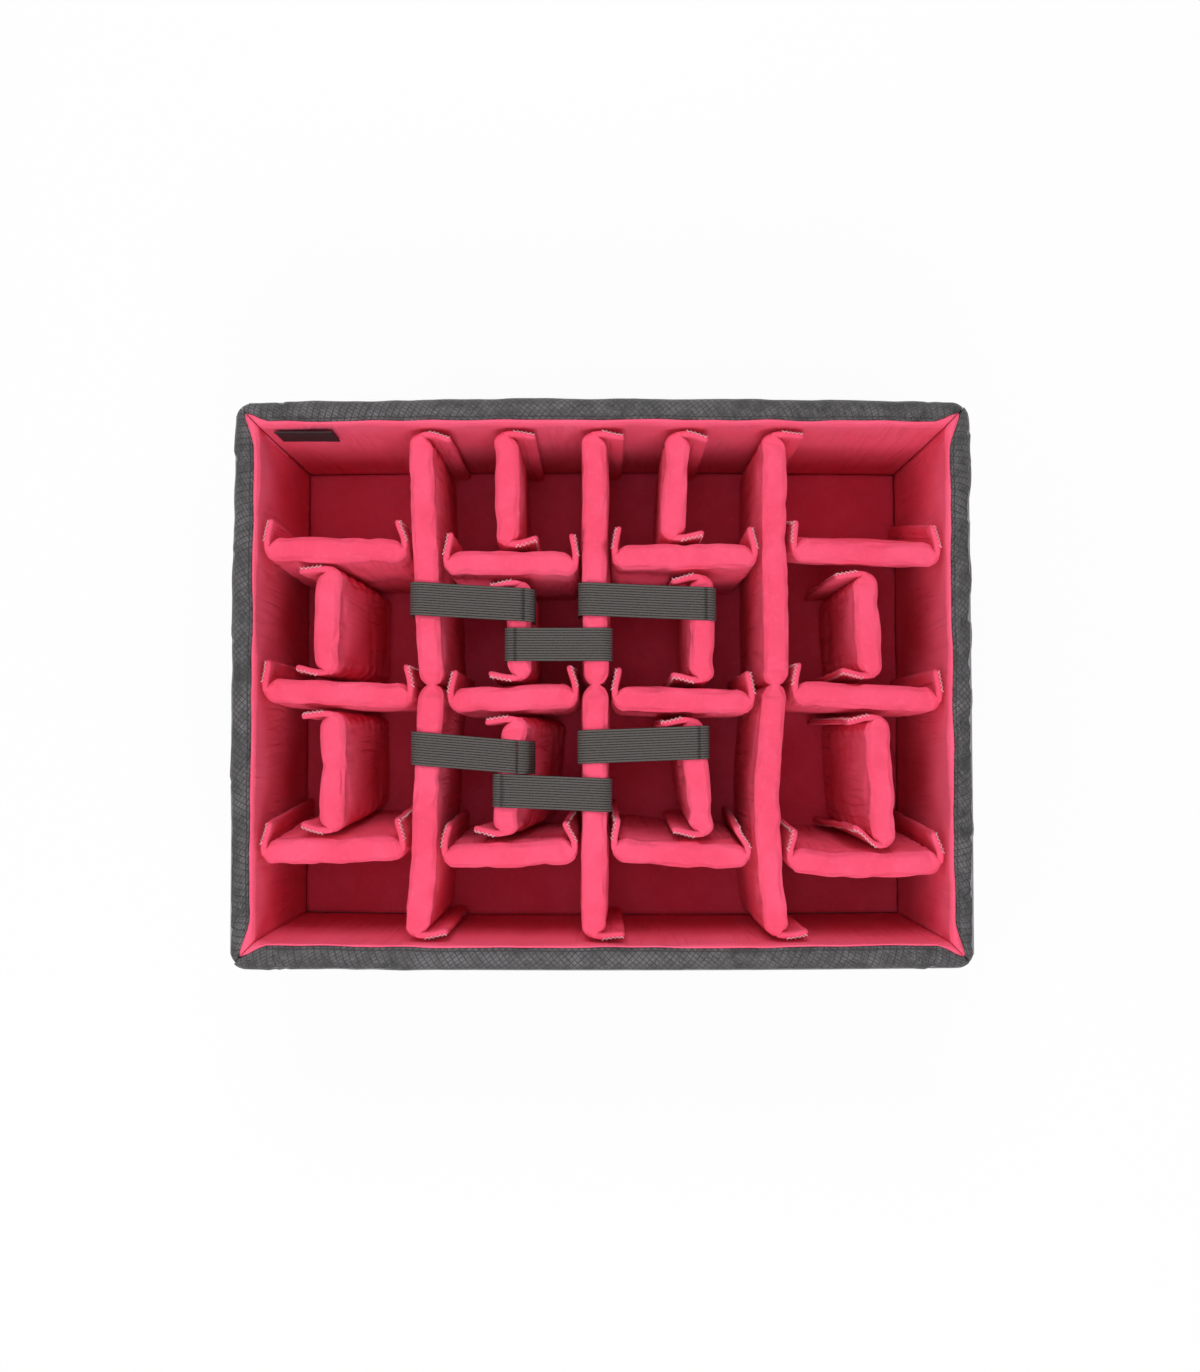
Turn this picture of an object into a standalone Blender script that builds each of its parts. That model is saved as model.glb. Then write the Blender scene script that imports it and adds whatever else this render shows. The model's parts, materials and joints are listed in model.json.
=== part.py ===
import math

import bmesh
import bpy
from mathutils import Vector

# A soft tray of foam between nylon and a pink loop lining, and the padded dividers that
# grip its lining with their end flaps. All lengths are in metres. +X runs along the long
# side, +Y to the back and +Z up, with the origin under the middle of the base.

# The tray
CASE_LENGTH = 0.554
CASE_DEPTH = 0.428
CASE_HEIGHT = 0.200
LONG_BOW = 0.002
SHORT_BOW = 0.0005
LONG_WALL = 0.0215
SHORT_WALL = 0.0205
LONG_FOLD = 0.017
SHORT_FOLD = 0.016
COVER_THICKNESS = 0.001
BASE_THICKNESS = 0.0012
BOARD_THICKNESS = 0.0025
BOARD_MARGIN = 0.009
FLOOR_FOAM = 0.012
FLOOR_ROUND = 0.004
RIM_ROUND = 0.005
BEAD_ROUND = 0.004
WALL_CROWN = 0.001

# The clearance between two pieces that touch, and how far the loop pile holds off hook tape
SEAT = 0.0003
LOOP_PILE = 0.0008

# The dividers
DIVIDER_DROP = 0.005
PAD_THICKNESS = 0.023
PAD_CROWN = 0.0006
PAD_TOP_ROUND = 0.0075
PAD_FOOT_ROUND = 0.003
PAD_END_ROUND = 0.009
PAD_FRONT_ROUND = 0.008
PAD_END_DROP = 0.003
FLAP_THICKNESS = 0.004
FLAP_REACH = 0.0115
FLAP_LIFT = 0.001
FLAP_FOOT_ROUND = 0.014
FLAP_TOP_ROUND = 0.004
NECK_THICKNESS = 0.005
NECK_REACH = 0.011
NECK_DROP = 0.003

# The elastic straps and the woven label
STRAP_WIDTH = 0.025
STRAP_THICKNESS = 0.0016
STRAP_LEG = 0.030
TAB_LENGTH = 0.017
TAB_THICKNESS = 0.0014
TAB_MARGIN = 0.0008
LABEL_LENGTH = 0.044
LABEL_HEIGHT = 0.033
LABEL_THICKNESS = 0.001
LABEL_INSET = 0.006
LABEL_DROP = 0.004

# What follows from them
CORNER_X = CASE_LENGTH / 2 - SHORT_BOW
CORNER_Y = CASE_DEPTH / 2 - LONG_BOW
INNER_LENGTH = CASE_LENGTH - 2 * SHORT_WALL
INNER_DEPTH = CASE_DEPTH - 2 * LONG_WALL
BOARD_DEPTH = COVER_THICKNESS + SEAT
LINING_DEPTH = BOARD_DEPTH + BOARD_THICKNESS + SEAT
WALL_FOOT = BASE_THICKNESS + SEAT
FLOOR_FOOT = WALL_FOOT + BOARD_THICKNESS + SEAT
FLOOR_TOP = FLOOR_FOOT + FLOOR_FOAM
DIVIDER_FOOT = FLOOR_TOP + SEAT
DIVIDER_TOP = CASE_HEIGHT - DIVIDER_DROP
DIVIDER_HEIGHT = DIVIDER_TOP - DIVIDER_FOOT
PAD_HALF = PAD_THICKNESS / 2
PAD_EDGE = PAD_HALF - PAD_CROWN
END_LENGTH = FLAP_THICKNESS + PAD_END_ROUND
STRAP_TOP = DIVIDER_TOP + SEAT + STRAP_THICKNESS

# Where the dividers stand, as shares of the inner length or depth from the middle.
# A long divider: back end, fold, front end, then the bow of its back and front half.
LONG_shares = (
    (-0.2671, -0.2495, -0.269, 0.0, 0.002),
    (-0.0117, -0.0101, -0.0117, 0.001, 0.0),
    (0.2525, 0.253, 0.2564, 0.0, -0.0138),
)
FOLD_share = -0.003
# A row divider, row by row from the back: left end, right end, bow, and how far its foot
# stands behind its top.
ROW_shares = (
    (
        (0.2622, 0.2604, 0.0, -0.0127),
        (0.2355, 0.2325, 0.0, 0.0),
        (0.2478, 0.2478, -0.002, 0.0),
        (0.2583, 0.2477, 0.0, 0.0705),
    ),
    (
        (-0.0138, -0.0237, -0.002, 0.0),
        (-0.0365, -0.0222, 0.0, 0.0),
        (-0.028, -0.0375, 0.0, 0.0),
        (-0.0178, -0.0333, 0.0, 0.0),
    ),
    (
        (-0.329, -0.3181, -0.002, 0.0333),
        (-0.3326, -0.3212, -0.0078, 0.0127),
        (-0.3153, -0.3337, -0.0088, 0.0235),
        (-0.3368, -0.3446, -0.0137, 0.0264),
    ),
)
# A short divider: its row, its column, its place, how far it turns and how far its foot leans.
SHORT_shares = (
    (1, 2, -0.1402, -0.002, 0.0),
    (1, 3, 0.1084, 0.004, 0.0),
    (2, 1, -0.4015, 0.002, 0.0257),
    (2, 2, -0.1208, 0.0, 0.0),
    (2, 3, 0.1455, 0.0, 0.0),
    (2, 4, 0.3887, -0.004, 0.0),
    (3, 1, -0.3937, 0.0, 0.0158),
    (3, 2, -0.1351, 0.009, 0.0495),
    (3, 3, 0.1377, -0.0092, 0.0),
    (3, 4, 0.4055, -0.005, -0.0139),
)
# A strap: the row and column of the short divider it hangs on, the long one it reaches
# over, and where its anchored and its free end lie in the room between the rows.
STRAP_shares = (
    (2, 2, 1, 0.80, 0.91),
    (2, 3, 2, 0.84, 0.93),
    (2, 2, 2, 0.05, 0.05),
    (3, 2, 1, 0.65, 0.77),
    (3, 3, 2, 0.81, 0.75),
    (3, 2, 2, 0.11, 0.05),
)
LABEL_share = -0.4705

# Where stations lie, as shares of the length that they divide
WALL_STATION_shares = (-1.0, -0.5, 0.0, 0.5, 1.0)
WALL_CROWN_LOW_share = 0.33
WALL_CROWN_HIGH_share = 0.67
END_STATION_shares = (0.04, 0.30, 0.60, 1.0)
ROW_MIDDLE_shares = (0.27, 0.5, 0.73)
SHORT_MIDDLE_shares = (0.5,)
LONG_MIDDLE_shares = (0.13, 0.25, 0.37, 0.63, 0.75, 0.87)
NECK_STATION_shares = (-1.0, -0.6, -0.25, 0.0, 0.25, 0.6, 1.0)
FACE_SAMPLES = 9
CROWN_share = 0.5
FLAP_ROOT_share = 0.8
LEG_OFFSET_share = 0.2
ROUND_LIMIT_share = 0.95

PINK = (0.90, 0.075, 0.16, 1.0)
NYLON = (0.035, 0.034, 0.037, 1.0)
WEBBING = (0.055, 0.050, 0.047, 1.0)
BOARD_GREY = (0.18, 0.18, 0.19, 1.0)
LABEL_BLACK = (0.008, 0.008, 0.009, 1.0)


def clear_scene():
    for item in list(bpy.data.objects):
        bpy.data.objects.remove(item, do_unlink=True)


def collection(name):
    made = bpy.data.collections.new(name)
    bpy.context.scene.collection.children.link(made)
    return made


def paint(item, colour, roughness):
    material = bpy.data.materials.new(item.name + "_surface")
    material.use_nodes = True
    shader = material.node_tree.nodes["Principled BSDF"]
    shader.inputs["Base Color"].default_value = colour
    shader.inputs["Roughness"].default_value = roughness
    shader.inputs["Metallic"].default_value = 0.0
    item.data.materials.append(material)


def finish_body(name, bm, home, origin=None, parent=None):
    # Turns world-space geometry into an object whose own origin is at the given point.
    origin = origin or Vector((0, 0, 0))
    bmesh.ops.recalc_face_normals(bm, faces=bm.faces)
    bmesh.ops.translate(bm, verts=bm.verts, vec=-origin)
    mesh = bpy.data.meshes.new(name)
    bm.to_mesh(mesh)
    bm.free()
    item = bpy.data.objects.new(name, mesh)
    item.location = origin
    if parent:
        item.parent = parent
        item.location = origin - parent.location
    home.objects.link(item)
    return item


def add_loft(bm, rings):
    # Skins closed rings with equal counts of points and closes both ends.
    loops = [[bm.verts.new(point) for point in ring] for ring in rings]
    count = len(rings[0])
    for near, far in zip(loops, loops[1:]):
        for i in range(count):
            j = (i + 1) % count
            bm.faces.new((near[i], near[j], far[j], far[i]))
    bm.faces.new(loops[0])
    bm.faces.new(loops[-1])


def add_prism(bm, outline, offset):
    # Extrudes a flat outline of world-space points by one offset.
    face = bm.faces.new([bm.verts.new(point) for point in outline])
    grown = bmesh.ops.extrude_face_region(bm, geom=[face])["geom"]
    moved = [part for part in grown if isinstance(part, bmesh.types.BMVert)]
    bmesh.ops.translate(bm, verts=moved, vec=offset)


def arc(centre_a, centre_b, radius, start, end, steps):
    # Points on an arc in a plane, with angles in degrees from the first axis.
    points = []
    for i in range(steps + 1):
        angle = math.radians(start + (end - start) * i / steps)
        points.append((centre_a + radius * math.cos(angle), centre_b + radius * math.sin(angle)))
    return points


def rounding(distance, radius):
    # How far a rounded corner draws a face back at a distance from the corner's end.
    inside = radius - min(max(distance, 0.0), radius)
    return radius - math.sqrt(radius ** 2 - inside ** 2)


def bulge(along, half, bow):
    # The walls of the soft tray bow out between its corners.
    return bow * (1 - (along / half) ** 2)


# The tray's walls: directions along and out, where their corners are, how thick they and
# their neighbours are, how far the nylon folds in and how far they bow
LONG_SIZES = (CORNER_X, CORNER_Y, LONG_WALL, SHORT_WALL, LONG_FOLD, LONG_BOW)
SHORT_SIZES = (CORNER_Y, CORNER_X, SHORT_WALL, LONG_WALL, SHORT_FOLD, SHORT_BOW)
WALLS = {
    "back": (Vector((1, 0, 0)), Vector((0, 1, 0)), *LONG_SIZES),
    "front": (Vector((-1, 0, 0)), Vector((0, -1, 0)), *LONG_SIZES),
    "left": (Vector((0, 1, 0)), Vector((-1, 0, 0)), *SHORT_SIZES),
    "right": (Vector((0, -1, 0)), Vector((1, 0, 0)), *SHORT_SIZES),
}


def wall_rings(side, profile, margin=0):
    # Carries a profile of (depth in from the outer face, height) along one wall, mitred at
    # the corners where it meets the next wall, or stopping short of them by a margin.
    along, out, half, reach, thickness, other, fold, bow = WALLS[side]
    rings = []
    for share in WALL_STATION_shares:
        ring = []
        for depth, height in profile:
            length = half - depth * other / thickness - SEAT - margin
            place = share * length
            outward = reach + bulge(place, half, bow) - depth
            ring.append(along * place + out * outward + Vector((0, 0, height)))
        rings.append(ring)
    return rings


def cover_profile(fold):
    # The nylon runs up the outer face, round the rim and down onto the padding.
    middle = CASE_HEIGHT - RIM_ROUND
    outer = arc(RIM_ROUND, middle, RIM_ROUND, 180, 90, 3)
    inner = arc(RIM_ROUND, middle, RIM_ROUND - COVER_THICKNESS, 90, 180, 3)
    return (
        [(0, WALL_FOOT)]
        + outer
        + [(fold, CASE_HEIGHT), (fold, CASE_HEIGHT - COVER_THICKNESS)]
        + inner
        + [(COVER_THICKNESS, WALL_FOOT)]
    )


def board_profile():
    inner = BOARD_DEPTH + BOARD_THICKNESS
    top = CASE_HEIGHT - RIM_ROUND - SEAT
    return [(BOARD_DEPTH, WALL_FOOT), (BOARD_DEPTH, top), (inner, top), (inner, WALL_FOOT)]


def padding_profile(fold, thickness):
    # Foam in its lining: it fills the rim under the nylon, shows as a bead beside it, and
    # swells a little between the bead and the floor.
    under = CASE_HEIGHT - COVER_THICKNESS - SEAT
    radius = RIM_ROUND - COVER_THICKNESS - SEAT
    shoulder = CASE_HEIGHT - RIM_ROUND + math.sqrt(radius ** 2 - (RIM_ROUND - LINING_DEPTH) ** 2)
    bead = arc(thickness - BEAD_ROUND, CASE_HEIGHT - BEAD_ROUND, BEAD_ROUND, 90, 0, 3)
    open_height = CASE_HEIGHT - BEAD_ROUND - FLOOR_TOP
    face = thickness + WALL_CROWN
    return (
        [(LINING_DEPTH, FLOOR_FOOT), (LINING_DEPTH, shoulder), (RIM_ROUND, under)]
        + [(fold + SEAT, under), (fold + SEAT, CASE_HEIGHT)]
        + bead
        + [(face, FLOOR_TOP + open_height * WALL_CROWN_HIGH_share)]
        + [(face, FLOOR_TOP + open_height * WALL_CROWN_LOW_share)]
        + [(thickness, FLOOR_TOP), (thickness, FLOOR_FOOT)]
    )


def make_walls(home):
    for side, sizes in WALLS.items():
        thickness, fold = sizes[4], sizes[6]
        pieces = (
            ("outer_cover_" + side, cover_profile(fold), 0, NYLON, 0.55),
            ("stiffener_" + side, board_profile(), BOARD_MARGIN, BOARD_GREY, 0.5),
            ("wall_padding_" + side, padding_profile(fold, thickness), 0, PINK, 0.9),
        )
        for name, profile, margin, colour, roughness in pieces:
            bm = bmesh.new()
            add_loft(bm, wall_rings(side, profile, margin))
            paint(finish_body(name, bm, home), colour, roughness)


def tray_outline(inset_x, inset_y, height):
    # The tray's bowed outline drawn in from its outer faces.
    half_x = CORNER_X - inset_x
    half_y = CORNER_Y - inset_y
    points = []
    for share in WALL_STATION_shares[:-1]:
        points.append(Vector((-share * half_x, half_y + bulge(share, 1, LONG_BOW), height)))
    for share in WALL_STATION_shares[:-1]:
        points.append(Vector((-half_x - bulge(share, 1, SHORT_BOW), -share * half_y, height)))
    return points + [Vector((-p.x, -p.y, p.z)) for p in points]


def make_base(home):
    bm = bmesh.new()
    add_loft(bm, [tray_outline(0, 0, 0), tray_outline(0, 0, BASE_THICKNESS)])
    paint(finish_body("base_cover", bm, home), NYLON, 0.55)

    bm = bmesh.new()
    rings = []
    for height in (WALL_FOOT, WALL_FOOT + BOARD_THICKNESS):
        rings.append(tray_outline(LINING_DEPTH, LINING_DEPTH, height))
    add_loft(bm, rings)
    paint(finish_body("stiffener_base", bm, home), BOARD_GREY, 0.5)

    bm = bmesh.new()
    rings = [tray_outline(SHORT_WALL + SEAT, LONG_WALL + SEAT, FLOOR_FOOT)]
    for draw_in, height in arc(FLOOR_ROUND, FLOOR_TOP - FLOOR_ROUND, FLOOR_ROUND, 180, 90, 2):
        rings.append(tray_outline(SHORT_WALL + SEAT + draw_in, LONG_WALL + SEAT + draw_in, height))
    add_loft(bm, rings)
    paint(finish_body("floor_padding", bm, home), PINK, 0.9)


def label_face():
    # The padding's inner face behind the label, at the label's lower edge.
    open_height = CASE_HEIGHT - BEAD_ROUND - FLOOR_TOP
    fall = (LABEL_DROP + LABEL_HEIGHT) / (open_height * (1 - WALL_CROWN_HIGH_share))
    return LONG_WALL + WALL_CROWN * min(fall, 1.0)


def make_label(home):
    # A woven label sewn flat to the back wall, under the bead at the left.
    left = LABEL_share * INNER_LENGTH - LABEL_INSET
    top = CASE_HEIGHT - BEAD_ROUND - LABEL_DROP
    face = CORNER_Y + bulge(left, CORNER_X, LONG_BOW) - label_face() - SEAT
    outline = [
        Vector((left, face, top - LABEL_HEIGHT)),
        Vector((left + LABEL_LENGTH, face, top - LABEL_HEIGHT)),
        Vector((left + LABEL_LENGTH, face, top)),
        Vector((left, face, top)),
    ]
    bm = bmesh.new()
    add_prism(bm, outline, Vector((0, -LABEL_THICKNESS, 0)))
    paint(finish_body("label", bm, home), LABEL_BLACK, 0.7)


def samples(low, high):
    return [low + (high - low) * i / (FACE_SAMPLES - 1) for i in range(FACE_SAMPLES)]


def wall_face_x(ys):
    # The nearest that a short wall's padding comes to the middle over a stretch.
    return min(CORNER_X + bulge(y, CORNER_Y, SHORT_BOW) for y in ys) - SHORT_WALL - WALL_CROWN


def wall_face_y(xs):
    return min(CORNER_Y + bulge(x, CORNER_X, LONG_BOW) for x in xs) - LONG_WALL - WALL_CROWN


def long_x(column, y):
    # The middle line of a long divider: two gently bowed halves that meet at its fold.
    back, fold, front, back_bow, front_bow = LONG_shares[column - 1]
    fold_y = FOLD_share * INNER_DEPTH
    end, bow = (back, back_bow) if y > fold_y else (front, front_bow)
    t = min(abs(y - fold_y) / (INNER_DEPTH / 2), 1.0)
    return INNER_LENGTH * (fold + (end - fold) * t + bow * 4 * t * (1 - t))


def fall(height):
    # 0 at the tops of the dividers and 1 at their feet.
    return max(DIVIDER_TOP - height, 0.0) / DIVIDER_HEIGHT


def row_lean(row, column):
    return INNER_DEPTH * ROW_shares[row - 1][column - 1][3]


def row_y(row, column, x, height=DIVIDER_TOP):
    # The middle line of a row divider between its two neighbours.
    left, right, bow, lean = ROW_shares[row - 1][column - 1]
    low = long_x(column - 1, 0) if column > 1 else -INNER_LENGTH / 2
    high = long_x(column, 0) if column < 4 else INNER_LENGTH / 2
    t = min(max((x - low) / (high - low), 0.0), 1.0)
    return INNER_DEPTH * (left + (right - left) * t + bow * 4 * t * (1 - t) + lean * fall(height))


def row_end(row, column, side):
    # The plane where a row divider's end flap lies, side -1 for left and 1 for right.
    middle = INNER_DEPTH * ROW_shares[row - 1][column - 1][(side + 1) // 2]
    lean = row_lean(row, column)
    ys = samples(middle - PAD_HALF + min(lean, 0), middle + PAD_HALF + FLAP_REACH + max(lean, 0))
    neighbour = column - 1 if side < 0 else column
    if neighbour in (0, 4):
        return side * (wall_face_x(ys) - LOOP_PILE)
    faces = [long_x(neighbour, y) - side * PAD_HALF for y in ys]
    return min(faces) - LOOP_PILE if side > 0 else max(faces) + LOOP_PILE


def short_spec(row, column):
    for spec in SHORT_shares:
        if spec[:2] == (row, column):
            return spec
    raise KeyError((row, column))


def flap_side(row):
    # Short dividers fold their flaps to the right in the back row, to the left elsewhere.
    return 1 if row == 1 else -1


def short_end(row, column, side):
    # Where a short divider's end flap lies at the top, side -1 for front and 1 for back.
    place, turn, lean = short_spec(row, column)[2:]
    middle = INNER_LENGTH * (place + side * turn)
    shift = INNER_LENGTH * lean
    sign = flap_side(row)
    reaches = [middle - sign * PAD_HALF, middle + sign * (PAD_HALF + FLAP_REACH)]
    reaches += [x + shift for x in reaches]
    xs = samples(min(reaches), max(reaches))
    if side > 0 and row == 1:
        return wall_face_y(xs) - LOOP_PILE
    if side > 0:
        return min(row_y(row - 1, column, x) for x in xs) - PAD_HALF - LOOP_PILE
    return max(row_y(row, column, x) for x in xs) + PAD_HALF + LOOP_PILE


def short_lean(row, column, side):
    # How far an end's foot stands behind its top: it follows a row divider that leans over it.
    if side < 0:
        return max(row_lean(row, column), 0)
    return min(row_lean(row - 1, column), 0) if row > 1 else 0


def pad_section(front, back, top):
    # One upright cut through a pad: a flat foot, crowned faces and a rounded top.
    half = (back - front) / 2
    middle = (back + front) / 2
    edge = half - PAD_CROWN * min(2 * half / PAD_HALF, 1.0)
    top_round = min(PAD_TOP_ROUND, edge * ROUND_LIMIT_share)
    foot_round = min(PAD_FOOT_ROUND, edge * ROUND_LIMIT_share)
    side = [(edge - foot_round, DIVIDER_FOOT), (edge, DIVIDER_FOOT + foot_round)]
    side.append((half, DIVIDER_FOOT + DIVIDER_HEIGHT * CROWN_share))
    side += arc(edge - top_round, top - top_round, top_round, 0, 90, 2)
    points = [(middle + across, height) for across, height in side]
    return points + [(middle - across, height) for across, height in reversed(side)]


def pad_stations(start, end, middles, neck):
    # Cuts from one end to the other as (place, front face, back face, top).
    stations = []
    for share in END_STATION_shares:
        distance = share * END_LENGTH
        front = -PAD_HALF + rounding(distance, PAD_FRONT_ROUND)
        back = PAD_HALF - rounding(distance - FLAP_THICKNESS, PAD_END_ROUND)
        top = DIVIDER_TOP - PAD_END_DROP * rounding(distance, END_LENGTH) / END_LENGTH
        stations.append((start + distance, front, back, top))
        stations.append((end - distance, front, back, top))
    for share in middles:
        stations.append((start + (end - start) * share, -PAD_HALF, PAD_HALF, DIVIDER_TOP))
    if neck is not None:
        for share in NECK_STATION_shares:
            width = math.sqrt(1 - (1 - abs(share)) ** 2)
            half = NECK_THICKNESS / 2 + (PAD_HALF - NECK_THICKNESS / 2) * width
            top = DIVIDER_TOP - NECK_DROP * (1 - width)
            stations.append((neck + share * NECK_REACH, -half, half, top))
    return sorted(stations)


def flap_outline():
    # A flap seen square on, as (across, height): its free corners are rounded.
    root = -PAD_HALF + PAD_FRONT_ROUND * FLAP_ROOT_share
    tip = PAD_HALF + FLAP_REACH
    foot = DIVIDER_FOOT + FLAP_LIFT
    top = DIVIDER_TOP - PAD_END_DROP
    foot_arc = arc(tip - FLAP_FOOT_ROUND, foot + FLAP_FOOT_ROUND, FLAP_FOOT_ROUND, -90, 0, 4)
    top_arc = arc(tip - FLAP_TOP_ROUND, top - FLAP_TOP_ROUND, FLAP_TOP_ROUND, 0, 90, 2)
    return [(root, foot)] + foot_arc + top_arc + [(root, top)]


def make_divider(name, place, start, end, middles, origin, homes, neck=None):
    # place maps (along, across, height) to a point. The flaps are joined to the pad's ends.
    parts, tools = homes
    bm = bmesh.new()
    rings = []
    for along, front, back, top in pad_stations(start, end, middles, neck):
        rings.append([place(along, across, height) for across, height in pad_section(front, back, top)])
    add_loft(bm, rings)
    pad = finish_body(name, bm, parts, origin)

    bm = bmesh.new()
    for outer, inner in ((start, start + FLAP_THICKNESS), (end, end - FLAP_THICKNESS)):
        rings = []
        for along in (outer, inner):
            rings.append([place(along, across, height) for across, height in flap_outline()])
        add_loft(bm, rings)
    flaps = finish_body(name + "_flaps", bm, tools)
    flaps.hide_render = True
    flaps.display_type = "WIRE"

    join = pad.modifiers.new("Flaps", "BOOLEAN")
    join.operation = "UNION"
    join.solver = "EXACT"
    join.object = flaps
    paint(pad, PINK, 0.9)
    return pad


def row_name(row, column):
    return f"row_divider_{row}_{column}"


def short_name(row, column):
    return f"short_divider_{row}_{column}"


def make_long_dividers(homes):
    for column in (1, 2, 3):
        fold_y = FOLD_share * INNER_DEPTH
        ends = []
        for side in (-1, 1):
            middle = long_x(column, side * INNER_DEPTH / 2)
            xs = samples(middle - PAD_HALF, middle + PAD_HALF + FLAP_REACH)
            ends.append(side * (wall_face_y(xs) - LOOP_PILE))

        def place(along, across, height, column=column):
            return Vector((long_x(column, along) + across, along, height))

        origin = Vector((long_x(column, fold_y), fold_y, DIVIDER_FOOT))
        name = f"long_divider_{column}"
        make_divider(name, place, ends[0], ends[1], LONG_MIDDLE_shares, origin, homes, fold_y)


def make_row_dividers(homes):
    for row in (1, 2, 3):
        for column in (1, 2, 3, 4):
            start, end = row_end(row, column, -1), row_end(row, column, 1)

            def place(along, across, height, row=row, column=column):
                return Vector((along, row_y(row, column, along, height) + across, height))

            origin = place((start + end) / 2, 0, DIVIDER_FOOT)
            make_divider(row_name(row, column), place, start, end, ROW_MIDDLE_shares, origin, homes)


def short_x(row, column, y, height):
    # The middle line of a short divider, with its turn and its lean.
    place, turn, lean = short_spec(row, column)[2:]
    front, back = short_end(row, column, -1), short_end(row, column, 1)
    t = 2 * (y - front) / (back - front) - 1
    return INNER_LENGTH * (place + turn * t + lean * fall(height))


def make_short_dividers(homes):
    for row, column, *rest in SHORT_shares:
        start, end = short_end(row, column, -1), short_end(row, column, 1)
        front_lean, back_lean = short_lean(row, column, -1), short_lean(row, column, 1)

        def place(along, across, height):
            t = (along - start) / (end - start)
            x = short_x(row, column, along, height) + flap_side(row) * across
            return Vector((x, along + fall(height) * (front_lean + (back_lean - front_lean) * t), height))

        origin = place((start + end) / 2, 0, DIVIDER_FOOT)
        make_divider(short_name(row, column), place, start, end, SHORT_MIDDLE_shares, origin, homes)


def pad_face(depth):
    # How far a pad's face stands out past its top edge's arc, at a depth under that arc.
    run = DIVIDER_HEIGHT * (1 - CROWN_share) - PAD_TOP_ROUND
    return PAD_TOP_ROUND + PAD_CROWN * min(depth / run, 1.0)


def strap_end(first_gap, tab_gap, leg):
    # The inner line of a webbing end that wraps a pad's top edge, as (point, outward normal)
    # with the point measured from the centre of that edge's arc.
    radius = PAD_TOP_ROUND + SEAT
    line = []
    for i in range(3):
        angle = math.radians(45 * i)
        normal = (math.sin(angle), math.cos(angle))
        line.append(((radius * normal[0], radius * normal[1]), normal))
    line[0] = ((first_gap, radius), (0, 1))
    for depth in (leg * LEG_OFFSET_share, leg):
        line.append(((pad_face(depth) + SEAT + tab_gap, -depth), (1, 0)))
    return line


def strap_room(row, long_column):
    # How far front and back a strap's middle may lie between two rows of dividers, clear of
    # the end flaps that stand against the long divider.
    columns = (long_column, long_column + 1)
    x = long_x(long_column, 0)
    low = max(row_y(row, column, x) for column in columns) + PAD_HALF + FLAP_REACH
    high = min(row_y(row - 1, column, x) for column in columns) - PAD_HALF
    return low + STRAP_WIDTH / 2, high - STRAP_WIDTH / 2


def strap_places(number):
    # The frame of one strap: which way it points, its pivot, and the arc centres of the
    # edges at its anchored and its free end.
    row, column, long_column, near_share, far_share = STRAP_shares[number - 1]
    low, high = strap_room(row, long_column)
    near_y = low + (high - low) * near_share
    far_y = low + (high - low) * far_share
    side = 1 if long_column < column else -1
    half_width = STRAP_WIDTH / 2
    near_ys = samples(near_y - half_width, near_y + half_width)
    far_ys = samples(far_y - half_width, far_y + half_width)
    near_x = max(side * short_x(row, column, y, DIVIDER_TOP) for y in near_ys)
    far_x = max(-side * long_x(long_column, y) for y in far_ys)
    flat = PAD_EDGE - PAD_TOP_ROUND
    return row, column, side, side * (near_x + flat), -side * (far_x + flat), near_y, far_y


def add_band(bm, line, place, low, high, thickness):
    # A strip of the given thickness along a line of (point, normal), as wide as low to high.
    outline = [point for point, normal in line]
    for point, normal in reversed(line):
        outline.append((point[0] + thickness * normal[0], point[1] + thickness * normal[1]))
    near_edge = [place(across, height, low) for across, height in outline]
    add_prism(bm, near_edge, Vector((0, high - low, 0)))


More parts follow.
